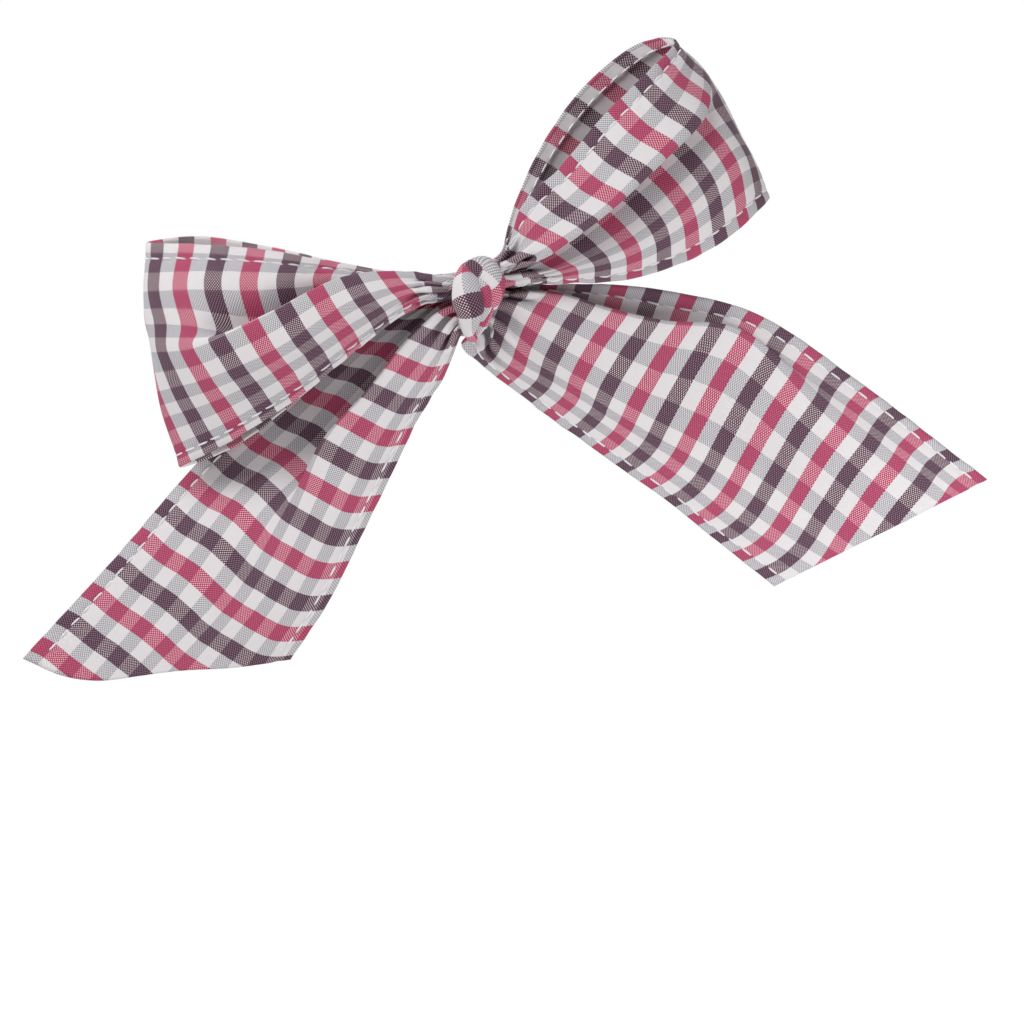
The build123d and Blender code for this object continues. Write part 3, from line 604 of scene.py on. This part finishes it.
loop_fine = finer(loop_grid, int(loop_length / FINE_STEP))
tail_fine = finer(tail_grid, int(tail_length / FINE_STEP))
loop_places = finer(loop_flat, loop_fine.shape[1])
tail_places = finer(tail_flat, tail_fine.shape[1])
print("fine grids", loop_fine.shape, tail_fine.shape)

# %% [markdown]
# ## Lining up the checks
#
# Sewn bows are cut without matching the checks, so each limb starts anywhere in the
# pattern, and no hem runs quite along a thread. For each limb, `checks` says where the
# first pink band crosses both hems, how far apart the bands are there, and how the
# stripes lie across. Inside the knot one limb's pattern runs over into the next.

# %% Checks for each limb
def limb_checks(flat, landmark, upper, lower, stripes):
    """(across, along) in the pattern of one limb.

    upper and lower are (place of a pink band, repeat before the landmark, repeat after
    it) on each hem. stripes is (start, scale) of the grey stripes across the strip."""
    share = flat[..., 0] / STRIP_WIDTH
    reached = flat[..., 1] - flat[:, [landmark], 1]
    along = []
    for first, before, after in (upper, lower):
        near = before if first < 0 else after
        along.append(np.where(reached < 0, reached / before, reached / after) - first / near)
    turned = (along[0] * (1 - share) + along[1] * share) * REPEAT
    return np.stack([stripes[0] + flat[..., 0] * stripes[1], turned], axis=-1)


def joined_checks(left, right, middle, width=8):
    """One pattern up to the middle column, the other after it."""
    share = np.clip((np.arange(left.shape[1]) - middle) / width + 0.5, 0, 1)[None, :, None]
    shift = np.round((left[:, middle, 1] - right[:, middle, 1]).mean() / REPEAT) * REPEAT
    return left * (1 - share) + (right + [0, shift]) * share


loop_right = fine_column(right_end, loop_grid, loop_fine)
loop_left = fine_column(left_end, loop_grid, loop_fine)
right_checks = limb_checks(
    loop_places, loop_right, upper=(9.7, 12.4, 12.6), lower=(7.0, 11.8, 10.6), stripes=(0.5, 1.0)
)
left_checks = limb_checks(
    loop_places, loop_left, upper=(-8.7, 12.3, 11.2), lower=(-14.6, 12.1, 12.1), stripes=(-1.14, 0.949)
)
loop_checks = joined_checks(right_checks, left_checks, (loop_right + loop_left) // 2)

tail_middle = fine_column(tail_root, tail_grid, tail_fine)
left_checks = limb_checks(
    tail_places, tail_middle, upper=(-60.8, 12.4, 12.4), lower=(-53.2, 12.8, 12.8), stripes=(0.563, 0.97)
)
right_checks = limb_checks(
    tail_places, tail_middle, upper=(23.2, 11.6, 11.6), lower=(19.0, 10.2, 10.2), stripes=(0.5, 1.0)
)
tail_checks = joined_checks(left_checks, right_checks, tail_middle)
print("checks across, mm:", CHECK, "repeat along, mm:", REPEAT)

# %% [markdown]
# ## Hems, puckers and thickness
#
# Each long edge is turned to the back and sewn 2 mm in. The lockstitch pulls the cloth
# in at each needle hole, so the edge puckers a little between one hole and the next. The
# grid goes on past the edge: it rolls over and comes back behind the cloth for the
# width of the hem. Solidify then gives the sheet its thickness.

# %% Directions and lengths on the fine grid
HEM_WIDTH = 2.5
HEM_LINE = 2.0
STITCH_PITCH = 2.85
CLOTH_THICK = 0.2
HEM_GAP = 0.26


def square_ways(grid):
    """The direction square to the cloth at every point of its grid."""
    across = np.gradient(grid, axis=0)
    along = np.gradient(grid, axis=1)
    square = np.cross(across, along)
    return square / np.linalg.norm(square, axis=-1, keepdims=True)


def read_row(values, distance):
    """The row of numbers at a distance in millimetres from row 0."""
    at = distance / STRIP_WIDTH * (len(values) - 1)
    low = int(at)
    return values[low] * (low + 1 - at) + values[low + 1] * (at - low)


# %% Puckers along both hem lines
# Depths and widths in millimetres: the groove that the thread pulls, its wave from one
# needle hole to the next, the wave of the edge, and a weaker one inside the hem.
GROOVE_DEPTH, GROOVE_WAVE, GROOVE_WIDTH = 0.24, 0.09, 0.55
EDGE_WAVE = 0.14
INNER_WAVE, INNER_PLACE, INNER_WIDTH = 0.10, 1.6, 1.1


def puckered(grid, back):
    """Pull the cloth back at each needle hole, and let the edge wave between them."""
    square = square_ways(grid) * back
    done = grid.copy()
    width = np.linspace(0, STRIP_WIDTH, len(grid))
    for distance, side in ((width, grid), (width[::-1], grid[::-1])):
        turns = lengths_along(read_row(side, HEM_LINE)) / STITCH_PITCH * 2 * math.pi
        drift = 0.6 + 0.4 * np.sin(turns * 0.13)
        at_line = np.exp(-(((distance - HEM_LINE) / GROOVE_WIDTH) ** 2))[:, None]
        at_edge = np.clip(1 - distance / HEM_LINE, 0, 1)[:, None]
        inside = np.exp(-(((distance - HEM_LINE - INNER_PLACE) / INNER_WIDTH) ** 2))[:, None]
        lift = at_line * (GROOVE_DEPTH + GROOVE_WAVE * np.cos(turns))
        lift = lift + at_edge * EDGE_WAVE * np.sin(turns * 0.5 + 1) * drift
        lift = lift - inside * INNER_WAVE * np.cos(turns) * drift
        done += square * lift[..., None]
    return done


loop_fine = puckered(loop_fine, 1)
tail_fine = puckered(tail_fine, -1)


# %% Hems
EDGE_ROLL = 0.12


def turned_hem(grid, places, back):
    """The rows of one hem, from its inner edge to the fold, for an edge at row 0.

    back is 1 or -1, the side of the cloth that the hem is turned to."""
    square = square_ways(grid) * back
    rows, hem_places = [], []
    for distance in (HEM_WIDTH, 2.0, 1.4, 0.8, 0.25):
        lift = HEM_GAP * (0.9 if distance in (HEM_WIDTH, 0.25) else 1.0)
        rows.append(read_row(grid, distance) + read_row(square, distance) * lift)
        hem_places.append(places[0] - [distance, 0])
    out = grid[0] - grid[1]
    out /= np.linalg.norm(out, axis=-1, keepdims=True)
    rows.append(grid[0] + out * EDGE_ROLL + square[0] * HEM_GAP * 0.5)
    hem_places.append(places[0] - [0.1, 0])
    return np.array(rows), np.array(hem_places)


def with_hems(grid, places, back):
    """The whole grid: lower hem, cloth and upper hem."""
    top, top_places = turned_hem(grid, places, back)
    low, low_places = turned_hem(grid[::-1], places[::-1] * [-1, 1], -back)
    rows = np.concatenate([top, grid, low[::-1]])
    return rows, np.concatenate([top_places, places, (low_places * [-1, 1])[::-1]])


# %% A mesh from a grid
def grid_mesh(name, grid, places, material, outward=1):
    """A sheet of quads with its place in the pattern as its UV map."""
    rows, columns = grid.shape[:2]
    index = np.arange(rows * columns).reshape(rows, columns)
    quads = np.stack([index[:-1, :-1], index[:-1, 1:], index[1:, 1:], index[1:, :-1]], axis=-1).reshape(-1, 4)
    if outward < 0:
        quads = quads[:, ::-1]
    mesh = bpy.data.meshes.new(name)
    mesh.from_pydata((grid.reshape(-1, 3) * MM).tolist(), [], quads.tolist())
    uv = mesh.uv_layers.new(name="cloth")
    uv.data.foreach_set("uv", places.reshape(-1, 2)[quads.reshape(-1)].astype(np.float32).reshape(-1))
    mesh.materials.append(material)
    mesh.polygons.foreach_set("use_smooth", [True] * len(quads))
    piece = bpy.data.objects.new(name, mesh)
    bpy.context.collection.objects.link(piece)
    return piece


def thicken(piece, thickness):
    """Give a sheet its thickness."""
    solid = piece.modifiers.new("thickness", "SOLIDIFY")
    solid.thickness = thickness * MM
    solid.offset = 0
    solid.use_even_offset = False


# %% The two strips
loop_strip = grid_mesh("loop_strip_cloth", *with_hems(loop_fine, loop_checks, 1), gingham_cloth)
tail_strip = grid_mesh("tail_strip_cloth", *with_hems(tail_fine, tail_checks, -1), gingham_cloth)
for piece, node in ((loop_strip, "loop_strip"), (tail_strip, "tail_strip")):
    thicken(piece, CLOTH_THICK)
    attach(piece, "bow")
    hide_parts(node)
    print(piece.name, len(piece.data.polygons), "quads")

# %% [markdown]
# ## Topstitching
#
# The hems are sewn with white thread. A lockstitch shows as a row of short dashes on
# both faces of the cloth, and each dash dives into a needle hole at its two ends. One
# helper makes a short length of thread along a line, and the same helper serves both
# faces of all four hems.

# %% Lengths of thread
THREAD_RADIUS = 0.16


def thread_length(line, out, radii, sides=6):
    """The points and faces of one piece of thread: rings of points, closed at both ends.

    line holds the middle points, out the directions away from the cloth."""
    ahead = np.gradient(line, axis=0)
    ahead /= np.linalg.norm(ahead, axis=1, keepdims=True)
    beside = np.cross(ahead, out)
    beside /= np.linalg.norm(beside, axis=1, keepdims=True)
    up = np.cross(beside, ahead)
    turn = np.arange(sides) * 2 * math.pi / sides
    rings = line[:, None] + radii[:, None, None] * (
        np.cos(turn)[None, :, None] * beside[:, None] + np.sin(turn)[None, :, None] * up[:, None]
    )
    count = len(line)
    points = np.concatenate([rings.reshape(-1, 3), line[:1], line[-1:]])
    faces = []
    for ring in range(count - 1):
        for side in range(sides):
            low = ring * sides + side
            low_next = ring * sides + (side + 1) % sides
            faces.append((low, low_next, low_next + sides, low + sides))
    last_ring = (count - 1) * sides
    for side in range(sides):
        after = (side + 1) % sides
        faces.append((after, side, count * sides))
        faces.append((last_ring + side, last_ring + after, count * sides + 1))
    return points, faces


def joined_mesh(name, shapes, material):
    """One mesh from many (points, faces) shapes."""
    points, faces, start = [], [], 0
    for shape_points, shape_faces in shapes:
        points.append(shape_points)
        faces.extend([tuple(index + start for index in face) for face in shape_faces])
        start += len(shape_points)
    mesh = bpy.data.meshes.new(name)
    mesh.from_pydata((np.concatenate(points) * MM).tolist(), [], faces)
    mesh.materials.append(material)
    mesh.polygons.foreach_set("use_smooth", [True] * len(mesh.polygons))
    piece = bpy.data.objects.new(name, mesh)
    bpy.context.collection.objects.link(piece)
    return piece


# %% The thread's finish
def sewing_thread():
    """White spun thread: a soft sheen and a fine twist."""
    thread = Finish("sewing_thread", Roughness=0.55, Sheen_Weight=0.2, Sheen_Roughness=0.4)
    place = thread.node("ShaderNodeTexCoord", output=3)
    fuzz = thread.node("ShaderNodeTexNoise", None, {"Vector": place, "Scale": 9000.0, "Detail": 2.0})
    thread.feed("Base Color", thread.mix(colour(253, 252, 254), colour(232, 229, 236), fuzz))
    twist = thread.node("ShaderNodeTexNoise", None, {"Vector": place, "Scale": 16000.0, "Detail": 0.0})
    thread.bump(twist, 0.04 * MM, 0.7)
    return thread.material


thread_finish = sewing_thread()

# %% One hem's stitches
STITCH_LENGTH = 2.45
KNOT_COVERS_X, KNOT_COVERS_Z = 5.2, 8.0

# How deep a dash lies, and how thick it is, from one needle hole to the next.
DIVE = np.array([0.30, 0.06, 0.0, 0.0, 0.0, 0.06, 0.30])
DASH_RADII = THREAD_RADIUS * np.array([0.45, 0.9, 1.0, 1.04, 1.0, 0.9, 0.45])


def hem_stitches(grid, back):
    """Dashes on both faces along the hem line near row 0."""
    line = read_row(grid, HEM_LINE)
    square = read_row(square_ways(grid), HEM_LINE) * back
    reached = lengths_along(line)
    rng = np.random.default_rng(11)
    shapes = []
    for hole in range(1, int(reached[-1] / STITCH_PITCH)):
        middle = hole * STITCH_PITCH + STITCH_PITCH / 2
        if middle + STITCH_LENGTH / 2 > reached[-1]:
            break
        at = np.array([np.interp(middle, reached, line[:, axis]) for axis in range(3)])
        if abs(at[0]) < KNOT_COVERS_X and abs(at[2]) < KNOT_COVERS_Z:
            continue
        length = STITCH_LENGTH * rng.uniform(0.88, 1.04)
        places = middle + np.linspace(-0.5, 0.5, len(DIVE)) * length
        points = np.stack([np.interp(places, reached, line[:, axis]) for axis in range(3)], axis=1)
        ways = np.stack([np.interp(places, reached, square[:, axis]) for axis in range(3)], axis=1)
        ways /= np.linalg.norm(ways, axis=1, keepdims=True)
        skew = np.cross(ways[3], points[-1] - points[0])
        skew = skew / np.linalg.norm(skew) * rng.uniform(0.02, 0.10)
        points = points + np.linspace(-1, 1, len(DIVE))[:, None] * skew
        for face, layers in ((-1, CLOTH_THICK / 2), (1, HEM_GAP + CLOTH_THICK / 2)):
            rise = layers + THREAD_RADIUS * 0.6 - DIVE
            dash = points + ways * (face * rise)[:, None]
            shapes.append(thread_length(dash, ways * face, DASH_RADII))
    return shapes


# %% All four hems
for strip, grid, back in (("loop", loop_fine, 1), ("tail", tail_fine, -1)):
    for edge, side in (("upper", grid), ("lower", grid[::-1])):
        shapes = hem_stitches(side, back if edge == "upper" else -back)
        stitches = joined_mesh(f"{strip}_topstitch_{edge}", shapes, thread_finish)
        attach(stitches, "bow")
        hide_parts(f"{strip}_hem_stitches_{edge}")
        print(stitches.name, len(shapes), "dashes")

# %% [markdown]
# ## The knot
#
# A narrow strip of the same cloth, with both raw edges folded in, is wound round the
# gathers and knotted in front. A flat band lies over the gathers and inside the clip.
# In front of it are four rolls of cloth. One arches over from the upper left to the
# right, and one crosses down in front of it on the left. A small fold is caught between
# the two, and another tucks in below them. Each roll is a sheet whose cross-section is
# most of an oval, open at the back where nobody sees it. Under the band, four turns of
# thread hold the gathers.

# %% A roll of folded cloth
# Creases run along a roll: how many there are round it, their height as a share of its
# size, where they start, and how much they turn in each millimetre.
CREASES = [(5, 0.020, 0.4, 0.35), (9, 0.012, 1.0, -0.5)]
FRONTWARD = np.array([0.0, -1.0, 0.0])


def roll_of_cloth(run, width, depth, opening, anchor, pattern, lean, columns):
    """A grid and its pattern. run holds (x, y, z, width share, turn in degrees).

    width and depth are the oval's half sizes, opening the angle from its front to where
    the edges end. At the anchor (x, z) on the roll's front the pattern's place is given,
    and the checks lie turned by lean degrees."""
    run = np.array(run, float)
    steps = np.sqrt(np.linalg.norm(np.diff(run[:, :3], axis=0), axis=1))
    knots = np.concatenate([[0.0], np.cumsum(steps)])
    values = smooth(knots, run, np.linspace(0, knots[-1], columns))
    centre, shares, turns = values[:, :3], values[:, 3], np.radians(values[:, 4])
    ahead = np.gradient(centre, axis=0)
    ahead /= np.linalg.norm(ahead, axis=1, keepdims=True)
    out = FRONTWARD - ahead * (ahead @ FRONTWARD)[:, None]
    out /= np.linalg.norm(out, axis=1, keepdims=True)
    beside = np.cross(out, ahead)
    front = out * np.cos(turns)[:, None] + beside * np.sin(turns)[:, None]
    beside = np.cross(front, ahead)
    angles = np.radians(np.linspace(-opening, opening, 41))
    along = lengths_along(centre)
    ripple = sum(
        height * np.cos(count * angles[:, None] + phase + along[None, :] * drift)
        for count, height, phase, drift in CREASES
    )
    across_size = (width * shares)[None, :] * (1 + ripple)
    front_size = (depth * (0.55 + 0.45 * shares))[None, :] * (1 + ripple)
    grid = (
        centre[None]
        + beside[None] * (np.sin(angles)[:, None] * across_size)[..., None]
        + front[None] * (np.cos(angles)[:, None] * front_size)[..., None]
    )
    flat_across = np.stack([lengths_along(column) for column in np.swapaxes(grid, 0, 1)], axis=1)
    flat_across = np.broadcast_to(flat_across.mean(axis=1, keepdims=True), flat_across.shape)
    middle = len(angles) // 2
    here = int(np.hypot(centre[:, 0] - anchor[0], centre[:, 2] - anchor[1]).argmin())
    across = flat_across - flat_across[middle, here]
    down = np.broadcast_to(along - along[here], across.shape)
    turned = math.radians(lean)
    first = pattern[0] + across * math.cos(turned) - down * math.sin(turned)
    second = pattern[1] + across * math.sin(turned) + down * math.cos(turned)
    return grid, np.stack([first, second], axis=-1)


# %% The band behind the knot
BAND_MIDDLE = np.array([0.0, -5.5, -0.95])
BAND_LEAN = 0.22


CLIP_CORNER = 0.7


def round_gathers(half_depth, half_height, corner, count):
    """Points of a rounded rectangle round the gathers, nearly square at the back."""
    outline = []
    for start, (side_y, side_z) in zip((0, 90, 180, 270), ((1, 1), (-1, 1), (-1, -1), (1, -1))):
        radius = CLIP_CORNER if side_y > 0 else corner
        centre = BAND_MIDDLE[1:] + [side_y * (half_depth - radius), side_z * (half_height - radius)]
        for angle in np.radians(np.linspace(start, start + 90, 7)):
            y = centre[0] + radius * math.cos(angle)
            z = centre[1] + radius * math.sin(angle)
            outline.append([0, y, z])
    outline = np.array([*outline, outline[0]])[::-1]
    reached = lengths_along(outline)
    even = np.linspace(0, reached[-1], count)
    return np.stack([np.interp(even, reached, outline[:, axis]) for axis in range(3)], axis=1)


def leaning(points):
    """Lean the band over to the right at its top, as the knot does."""
    points[..., 0] += (points[..., 2] - BAND_MIDDLE[2]) * BAND_LEAN
    return points


def wound_band():
    """The flat band: over the gathers, down in front, and back inside the clip."""
    outline = round_gathers(half_depth=4.75, half_height=6.1, corner=2.6, count=91)
    inward = np.cross(np.gradient(outline, axis=0), [1.0, 0, 0])
    inward /= np.linalg.norm(inward, axis=1, keepdims=True)
    if inward[0] @ (BAND_MIDDLE - outline[0]) < 0:
        inward = -inward
    # The edges are tucked under, and the face between them is a little ribbed.
    across = np.array([-1.5, -2.1, -2.4, -2.4, -2.1, -1.3, -0.5, 0.5, 1.3, 2.1, 2.4, 2.4, 2.1, 1.5])
    tuck = np.array([0.25, 0.25, 0.2, 0.06, 0, 0.02, -0.04, 0.03, -0.03, 0, 0.06, 0.2, 0.25, 0.25])
    waist = 1 - 0.05 * np.sin(np.linspace(0, 4 * math.pi, 91))
    grid = outline[None] + inward[None] * tuck[:, None, None]
    grid = leaning(grid + (across[:, None] * waist[None, :])[..., None] * [1.0, 0, 0])
    flat_across = lengths_along(np.stack([across, tuck], axis=1))
    flat_along = lengths_along(outline)
    return grid, np.stack(np.broadcast_arrays(flat_across[:, None], flat_along[None, :]), axis=-1)


# %% The rolls in front, each point (x, y, z, width share, turn in degrees)
OVER_RUN = [
    (-2.6, -9.4, 0.0, 0.72, 14), (-2.0, -10.6, 1.7, 0.90, 12), (-0.6, -11.4, 3.1, 1.0, 6),
    (0.75, -11.7, 3.35, 1.0, 0), (1.65, -11.7, 2.2, 1.0, -8), (2.15, -11.3, 0.6, 0.97, -12),
    (1.95, -10.8, -1.0, 0.86, -8), (1.3, -10.1, -2.6, 0.7, 0),
]
FRONT_RUN = [
    (-1.9, -10.3, 3.5, 0.50, 4), (-2.05, -11.6, 2.1, 0.72, 4), (-2.1, -12.5, 0.5, 0.88, 2),
    (-1.92, -12.9, -1.5, 1.0, 0), (-1.55, -12.7, -3.5, 0.93, 0), (-1.6, -11.9, -5.1, 0.70, 0),
    (-1.7, -10.8, -6.3, 0.50, 0), (-1.55, -9.4, -7.1, 0.36, 0), (-1.45, -8.0, -7.3, 0.34, 0),
]
SIDE_RUN = [
    (-1.0, -11.3, 2.0, 0.5, -20), (0.1, -12.2, 1.2, 0.8, -24), (0.95, -12.4, -0.2, 1.0, -26),
    (1.15, -12.1, -1.8, 1.0, -22), (0.85, -11.4, -3.4, 0.85, -16), (0.4, -10.4, -4.8, 0.7, -8),
]
TUCK_RUN = [
    (1.5, -9.8, -1.2, 0.8, -10), (1.1, -10.5, -2.6, 1.0, -14), (0.6, -10.5, -4.0, 1.0, -10),
    (-0.1, -9.9, -5.2, 1.0, 0), (-0.7, -9.0, -6.2, 0.9, 0), (-1.1, -7.8, -6.7, 0.8, 0),
]
over_roll = roll_of_cloth(
    OVER_RUN, width=2.1, depth=1.75, opening=125,
    anchor=(1.2, 2.9), pattern=(0.0, 8.3), lean=34, columns=46,
)
front_roll = roll_of_cloth(
    FRONT_RUN, width=2.46, depth=1.95, opening=128,
    anchor=(-1.7, -2.8), pattern=(0.0, 6.15), lean=10, columns=52,
)
side_roll = roll_of_cloth(
    SIDE_RUN, width=1.05, depth=1.1, opening=130,
    anchor=(1.1, -1.2), pattern=(1.3, 12.3), lean=0, columns=30,
)
tuck_roll = roll_of_cloth(
    TUCK_RUN, width=1.45, depth=1.0, opening=130,
    anchor=(0.6, -4.0), pattern=(1.3, 0.0), lean=0, columns=30,
)
knot_sheets = {
    "band": wound_band(), "over": over_roll, "front": front_roll, "side": side_roll, "tuck": tuck_roll,
}
knot_parts = []
for name, (grid, places) in knot_sheets.items():
    knot_parts.append(grid_mesh(f"knot_{name}", grid, places, gingham_cloth))
    print("knot", name, grid.shape[:2], "width, mm:", round(float(np.ptp(places[:, 0, 0])), 1))

# %% The gathering thread under the band
GATHER_TURNS = 4
GATHER_STEP = 1.15
GATHER_RADIUS = 0.2
turns_of_thread = []
for turn in range(GATHER_TURNS):
    beside = (turn - (GATHER_TURNS - 1) / 2) * GATHER_STEP
    ring = round_gathers(half_depth=4.15, half_height=5.5, corner=2.4, count=73)
    ring = leaning(ring + [beside, 0, 0])
    away = ring - ring[:-1].mean(axis=0)
    away[:, 0] = 0
    away /= np.linalg.norm(away, axis=1, keepdims=True)
    turns_of_thread.append(thread_length(ring, away, np.full(len(ring), GATHER_RADIUS)))
gathering = joined_mesh("gathering_thread", turns_of_thread, thread_finish)
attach(gathering, "bow")
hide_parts("gather_thread")
print("gathering thread:", GATHER_TURNS, "turns")

# %% Join the band and the rolls into one wrap
WRAP_THICK = 0.24
bpy.ops.object.select_all(action="DESELECT")
for part in knot_parts:
    part.select_set(True)
bpy.context.view_layer.objects.active = knot_parts[0]
bpy.ops.object.join()
knot_cloth = knot_parts[0]
knot_cloth.name = "knot_wrap_cloth"
thicken(knot_cloth, WRAP_THICK)
smoother = knot_cloth.modifiers.new("smooth", "SUBSURF")
smoother.levels = smoother.render_levels = 1
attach(knot_cloth, "bow")
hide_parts("knot_wrap")
knot_area = sum(face.area for face in knot_cloth.data.polygons)
print("knot cloth, mm2:", round(knot_area * 1e6))

# %% [markdown]
# ## Finishes of the clip
#
# The CAD model's clip already has its true shape, so its pieces only need their finish.
# The jaws are stamped sheet with a nickel plate: the rolling marks run along the clip,
# and handling has left fine scratches. The ribbon is grosgrain, with ribs across it.

# %% Nickel, steel and ribbon
def plated(name, tone, roughness, grain):
    """Plated metal, brushed along X, with a few duller patches."""
    metal = Finish(name, Metallic=1.0)
    place = metal.node("ShaderNodeTexCoord", output=3)
    brushed = metal.node("ShaderNodeMapping", None, {"Vector": place, "Scale": (0.06, 1.0, 1.0)})
    streaks = metal.node("ShaderNodeTexNoise", None, {"Vector": brushed, "Scale": grain, "Detail": 3.0})
    patches = metal.node("ShaderNodeTexNoise", None, {"Vector": place, "Scale": 350.0, "Detail": 2.0})
    worn = colour(*[value - 34 for value in tone])
    metal.feed("Base Color", metal.mix(colour(*tone), worn, streaks * 0.6 + patches * 0.3))
    metal.feed("Roughness", streaks * 0.12 + patches * 0.10 + roughness)
    metal.bump(streaks, 0.006 * MM, 0.5)
    return metal.material


def grosgrain():
    """White ribbon with ribs across its length, with painted shade between the ribs and a little wear."""
    ribbon = Finish("grosgrain_ribbon", Roughness=0.7, Sheen_Weight=0.25, Sheen_Roughness=0.4)
    place = ribbon.node("ShaderNodeTexCoord", output=3)
    x, _, z = ribbon.parts(place)
    ribs = (x * (2 * math.pi / (0.55 * MM))).sine()
    threads = (z * (2 * math.pi / (0.22 * MM))).sine()
    wear = ribbon.node("ShaderNodeTexNoise", None, {"Vector": place, "Scale": 900.0, "Detail": 3.0})
    # Painted shade: the colour darkens in the grooves between the ribs. The noise adds real wear at random.
    rib_shade_and_wear = ribs * 0.3 + wear * 0.5
    ribbon.feed("Base Color", ribbon.mix(colour(238, 235, 236), colour(205, 200, 205), rib_shade_and_wear))
    ribbon.bump(ribs * 0.8 + threads * 0.25, 0.08 * MM, 0.7)
    return ribbon.material


nickel = plated("nickel_plate", (205, 203, 200), 0.20, 2600.0)
pin_plate = plated("pin_plate", (190, 188, 186), 0.26, 3400.0)
spring_wire = plated("spring_wire", (168, 168, 172), 0.24, 5200.0)
ribbon_finish = grosgrain()


# %% Give the CAD nodes their finish
def finish_node(node, material):
    """Put one material in all of a CAD node's slots."""
    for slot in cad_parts[node].material_slots:
        slot.material = material


for node, material in (
    ("front_jaw", nickel), ("back_jaw", nickel), ("hinge_pin", pin_plate), ("clip_lining", ribbon_finish),
    ("wrap_seam_stitches", thread_finish),
):
    finish_node(node, material)
    print(node, "gets", material.name)

# %% [markdown]
# ## The torsion spring
#
# The spring is one wire: three turns round the pin, and a straight leg under each
# lever. When the clip opens, the back leg swings with its lever while the coil and the
# front leg stay, so the wire is made as two pieces that meet where the back leg leaves
# the coil.

# %% The spring's wire
PIN_X, PIN_Y, CLIP_Z = 8.5, 1.9, -2.5
WIRE_RADIUS, COIL_RADIUS, COIL_PITCH = 0.3, 1.25, 0.75
COIL_START, COIL_TURNS = 117.0, 3
LEG_END_X, FRONT_LEG_Y, BACK_LEG_Y = 15.0, -0.55, 5.98


def wire_piece(name, points, body):
    """A round wire through points, closed at both ends."""
    points = np.array(points)
    ways = np.cross(np.gradient(points, axis=0), [0.0, 0, 1.0])
    ways /= np.linalg.norm(ways, axis=1, keepdims=True)
    shape = thread_length(points, ways, np.full(len(points), WIRE_RADIUS), sides=12)
    piece = joined_mesh(name, [shape], spring_wire)
    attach(piece, body)
    return piece


sweep = 270.0 - COIL_START + 360.0 * COIL_TURNS
coil_height = COIL_PITCH * sweep / 360.0
coil_low = CLIP_Z - coil_height / 2
turning = np.radians(COIL_START + np.linspace(0, sweep, 120))
coil_x = PIN_X + COIL_RADIUS * np.cos(turning)
coil_y = PIN_Y + COIL_RADIUS * np.sin(turning)
coil = np.stack([coil_x, coil_y, coil_low + np.linspace(0, coil_height, 120)], axis=1)
front_reach = np.array([LEG_END_X, FRONT_LEG_Y, coil[-1][2]]) - coil[-1]
back_reach = np.array([LEG_END_X, BACK_LEG_Y, coil[0][2]]) - coil[0]
front_leg = coil[-1] + np.linspace(0, 1, 12)[1:, None] * front_reach
back_leg = coil[0] + np.linspace(0, 1, 12)[:, None] * back_reach
spring_coil = wire_piece("spring_coil_and_front_leg", np.concatenate([coil, front_leg]), "bow")
spring_leg = wire_piece("spring_back_leg", back_leg, "back_jaw")
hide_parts("torsion_spring")
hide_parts("torsion_spring")
print("spring:", len(spring_coil.data.polygons) + len(spring_leg.data.polygons), "faces")

# %% [markdown]
# ## Floor, light and background
#
# Three soft lamps in front work as two windows and a skylight, and a fourth lights the
# back. The floor and the world look white to the camera, but they light the bow weakly,
# so that its folds keep their shade.

# %% Floor and lights
def studio(name, strength, place, aim, size):
    """A large soft lamp that points at a place."""
    lamp = bpy.data.lights.new(name, "AREA")
    lamp.energy = strength
    lamp.shape = "DISK"
    lamp.size = size
    stand = bpy.data.objects.new(name, lamp)
    bpy.context.collection.objects.link(stand)
    stand.location = place
    direction = Vector(aim) - Vector(place)
    stand.rotation_euler = direction.to_track_quat("-Z", "Y").to_euler()
    stand.visible_camera = False


studio("right window", 0.25, (0.17, -0.15, -0.14), (0.085, 0, -0.07), 0.12)
studio("left window", 0.62, (-0.30, -0.16, 0.20), (-0.05, 0, 0.01), 0.18)
studio("top", 1.06, (-0.12, -0.32, 0.46), (0, 0, 0.01), 0.28)
studio("back", 1.9, (0.1, 0.60, 0.30), (0, 0, -0.01), 0.5)

bpy.ops.object.select_all(action="DESELECT")
bpy.ops.mesh.primitive_plane_add(size=4, location=(0, 0, -0.2))
floor = bpy.context.object
floor.name = "floor"
paper = Finish("paper", Base_Color=(0.9, 0.9, 0.9, 1), Roughness=0.9)
seen = paper.node("ShaderNodeLightPath")
rays = seen.output.node.outputs
bright = Wire(paper, rays["Is Camera Ray"]) + Wire(paper, rays["Is Glossy Ray"])
bright = bright + Wire(paper, rays["Is Transmission Ray"])
paper.shader.inputs["Emission Strength"].default_value = 1.0
paper.feed("Emission Color", paper.mix((0, 0, 0, 1), (1, 1, 1, 1), bright.limit()))
paper.feed("Base Color", paper.mix((0.9, 0.9, 0.9, 1), (0, 0, 0, 1), bright.limit()))
floor.data.materials.append(paper.material)

world = bpy.data.worlds.new("studio")
bpy.context.scene.world = world
world.use_nodes = True
air = world.node_tree
light_path = air.nodes.new("ShaderNodeLightPath")
background = next(node for node in air.nodes if node.type == "BACKGROUND")
visible = air.nodes.new("ShaderNodeMath")
visible.operation = "MAXIMUM"
air.links.new(light_path.outputs["Is Camera Ray"], visible.inputs[0])
air.links.new(light_path.outputs["Is Glossy Ray"], visible.inputs[1])
ambient = air.nodes.new("ShaderNodeMapRange")
ambient.inputs["To Min"].default_value = 0.29
ambient.inputs["To Max"].default_value = 1.0
air.links.new(visible.outputs[0], ambient.inputs["Value"])
air.links.new(ambient.outputs[0], background.inputs["Strength"])
background.inputs["Color"].default_value = (1, 1, 1, 1)
bpy.context.scene.view_settings.view_transform = "Standard"
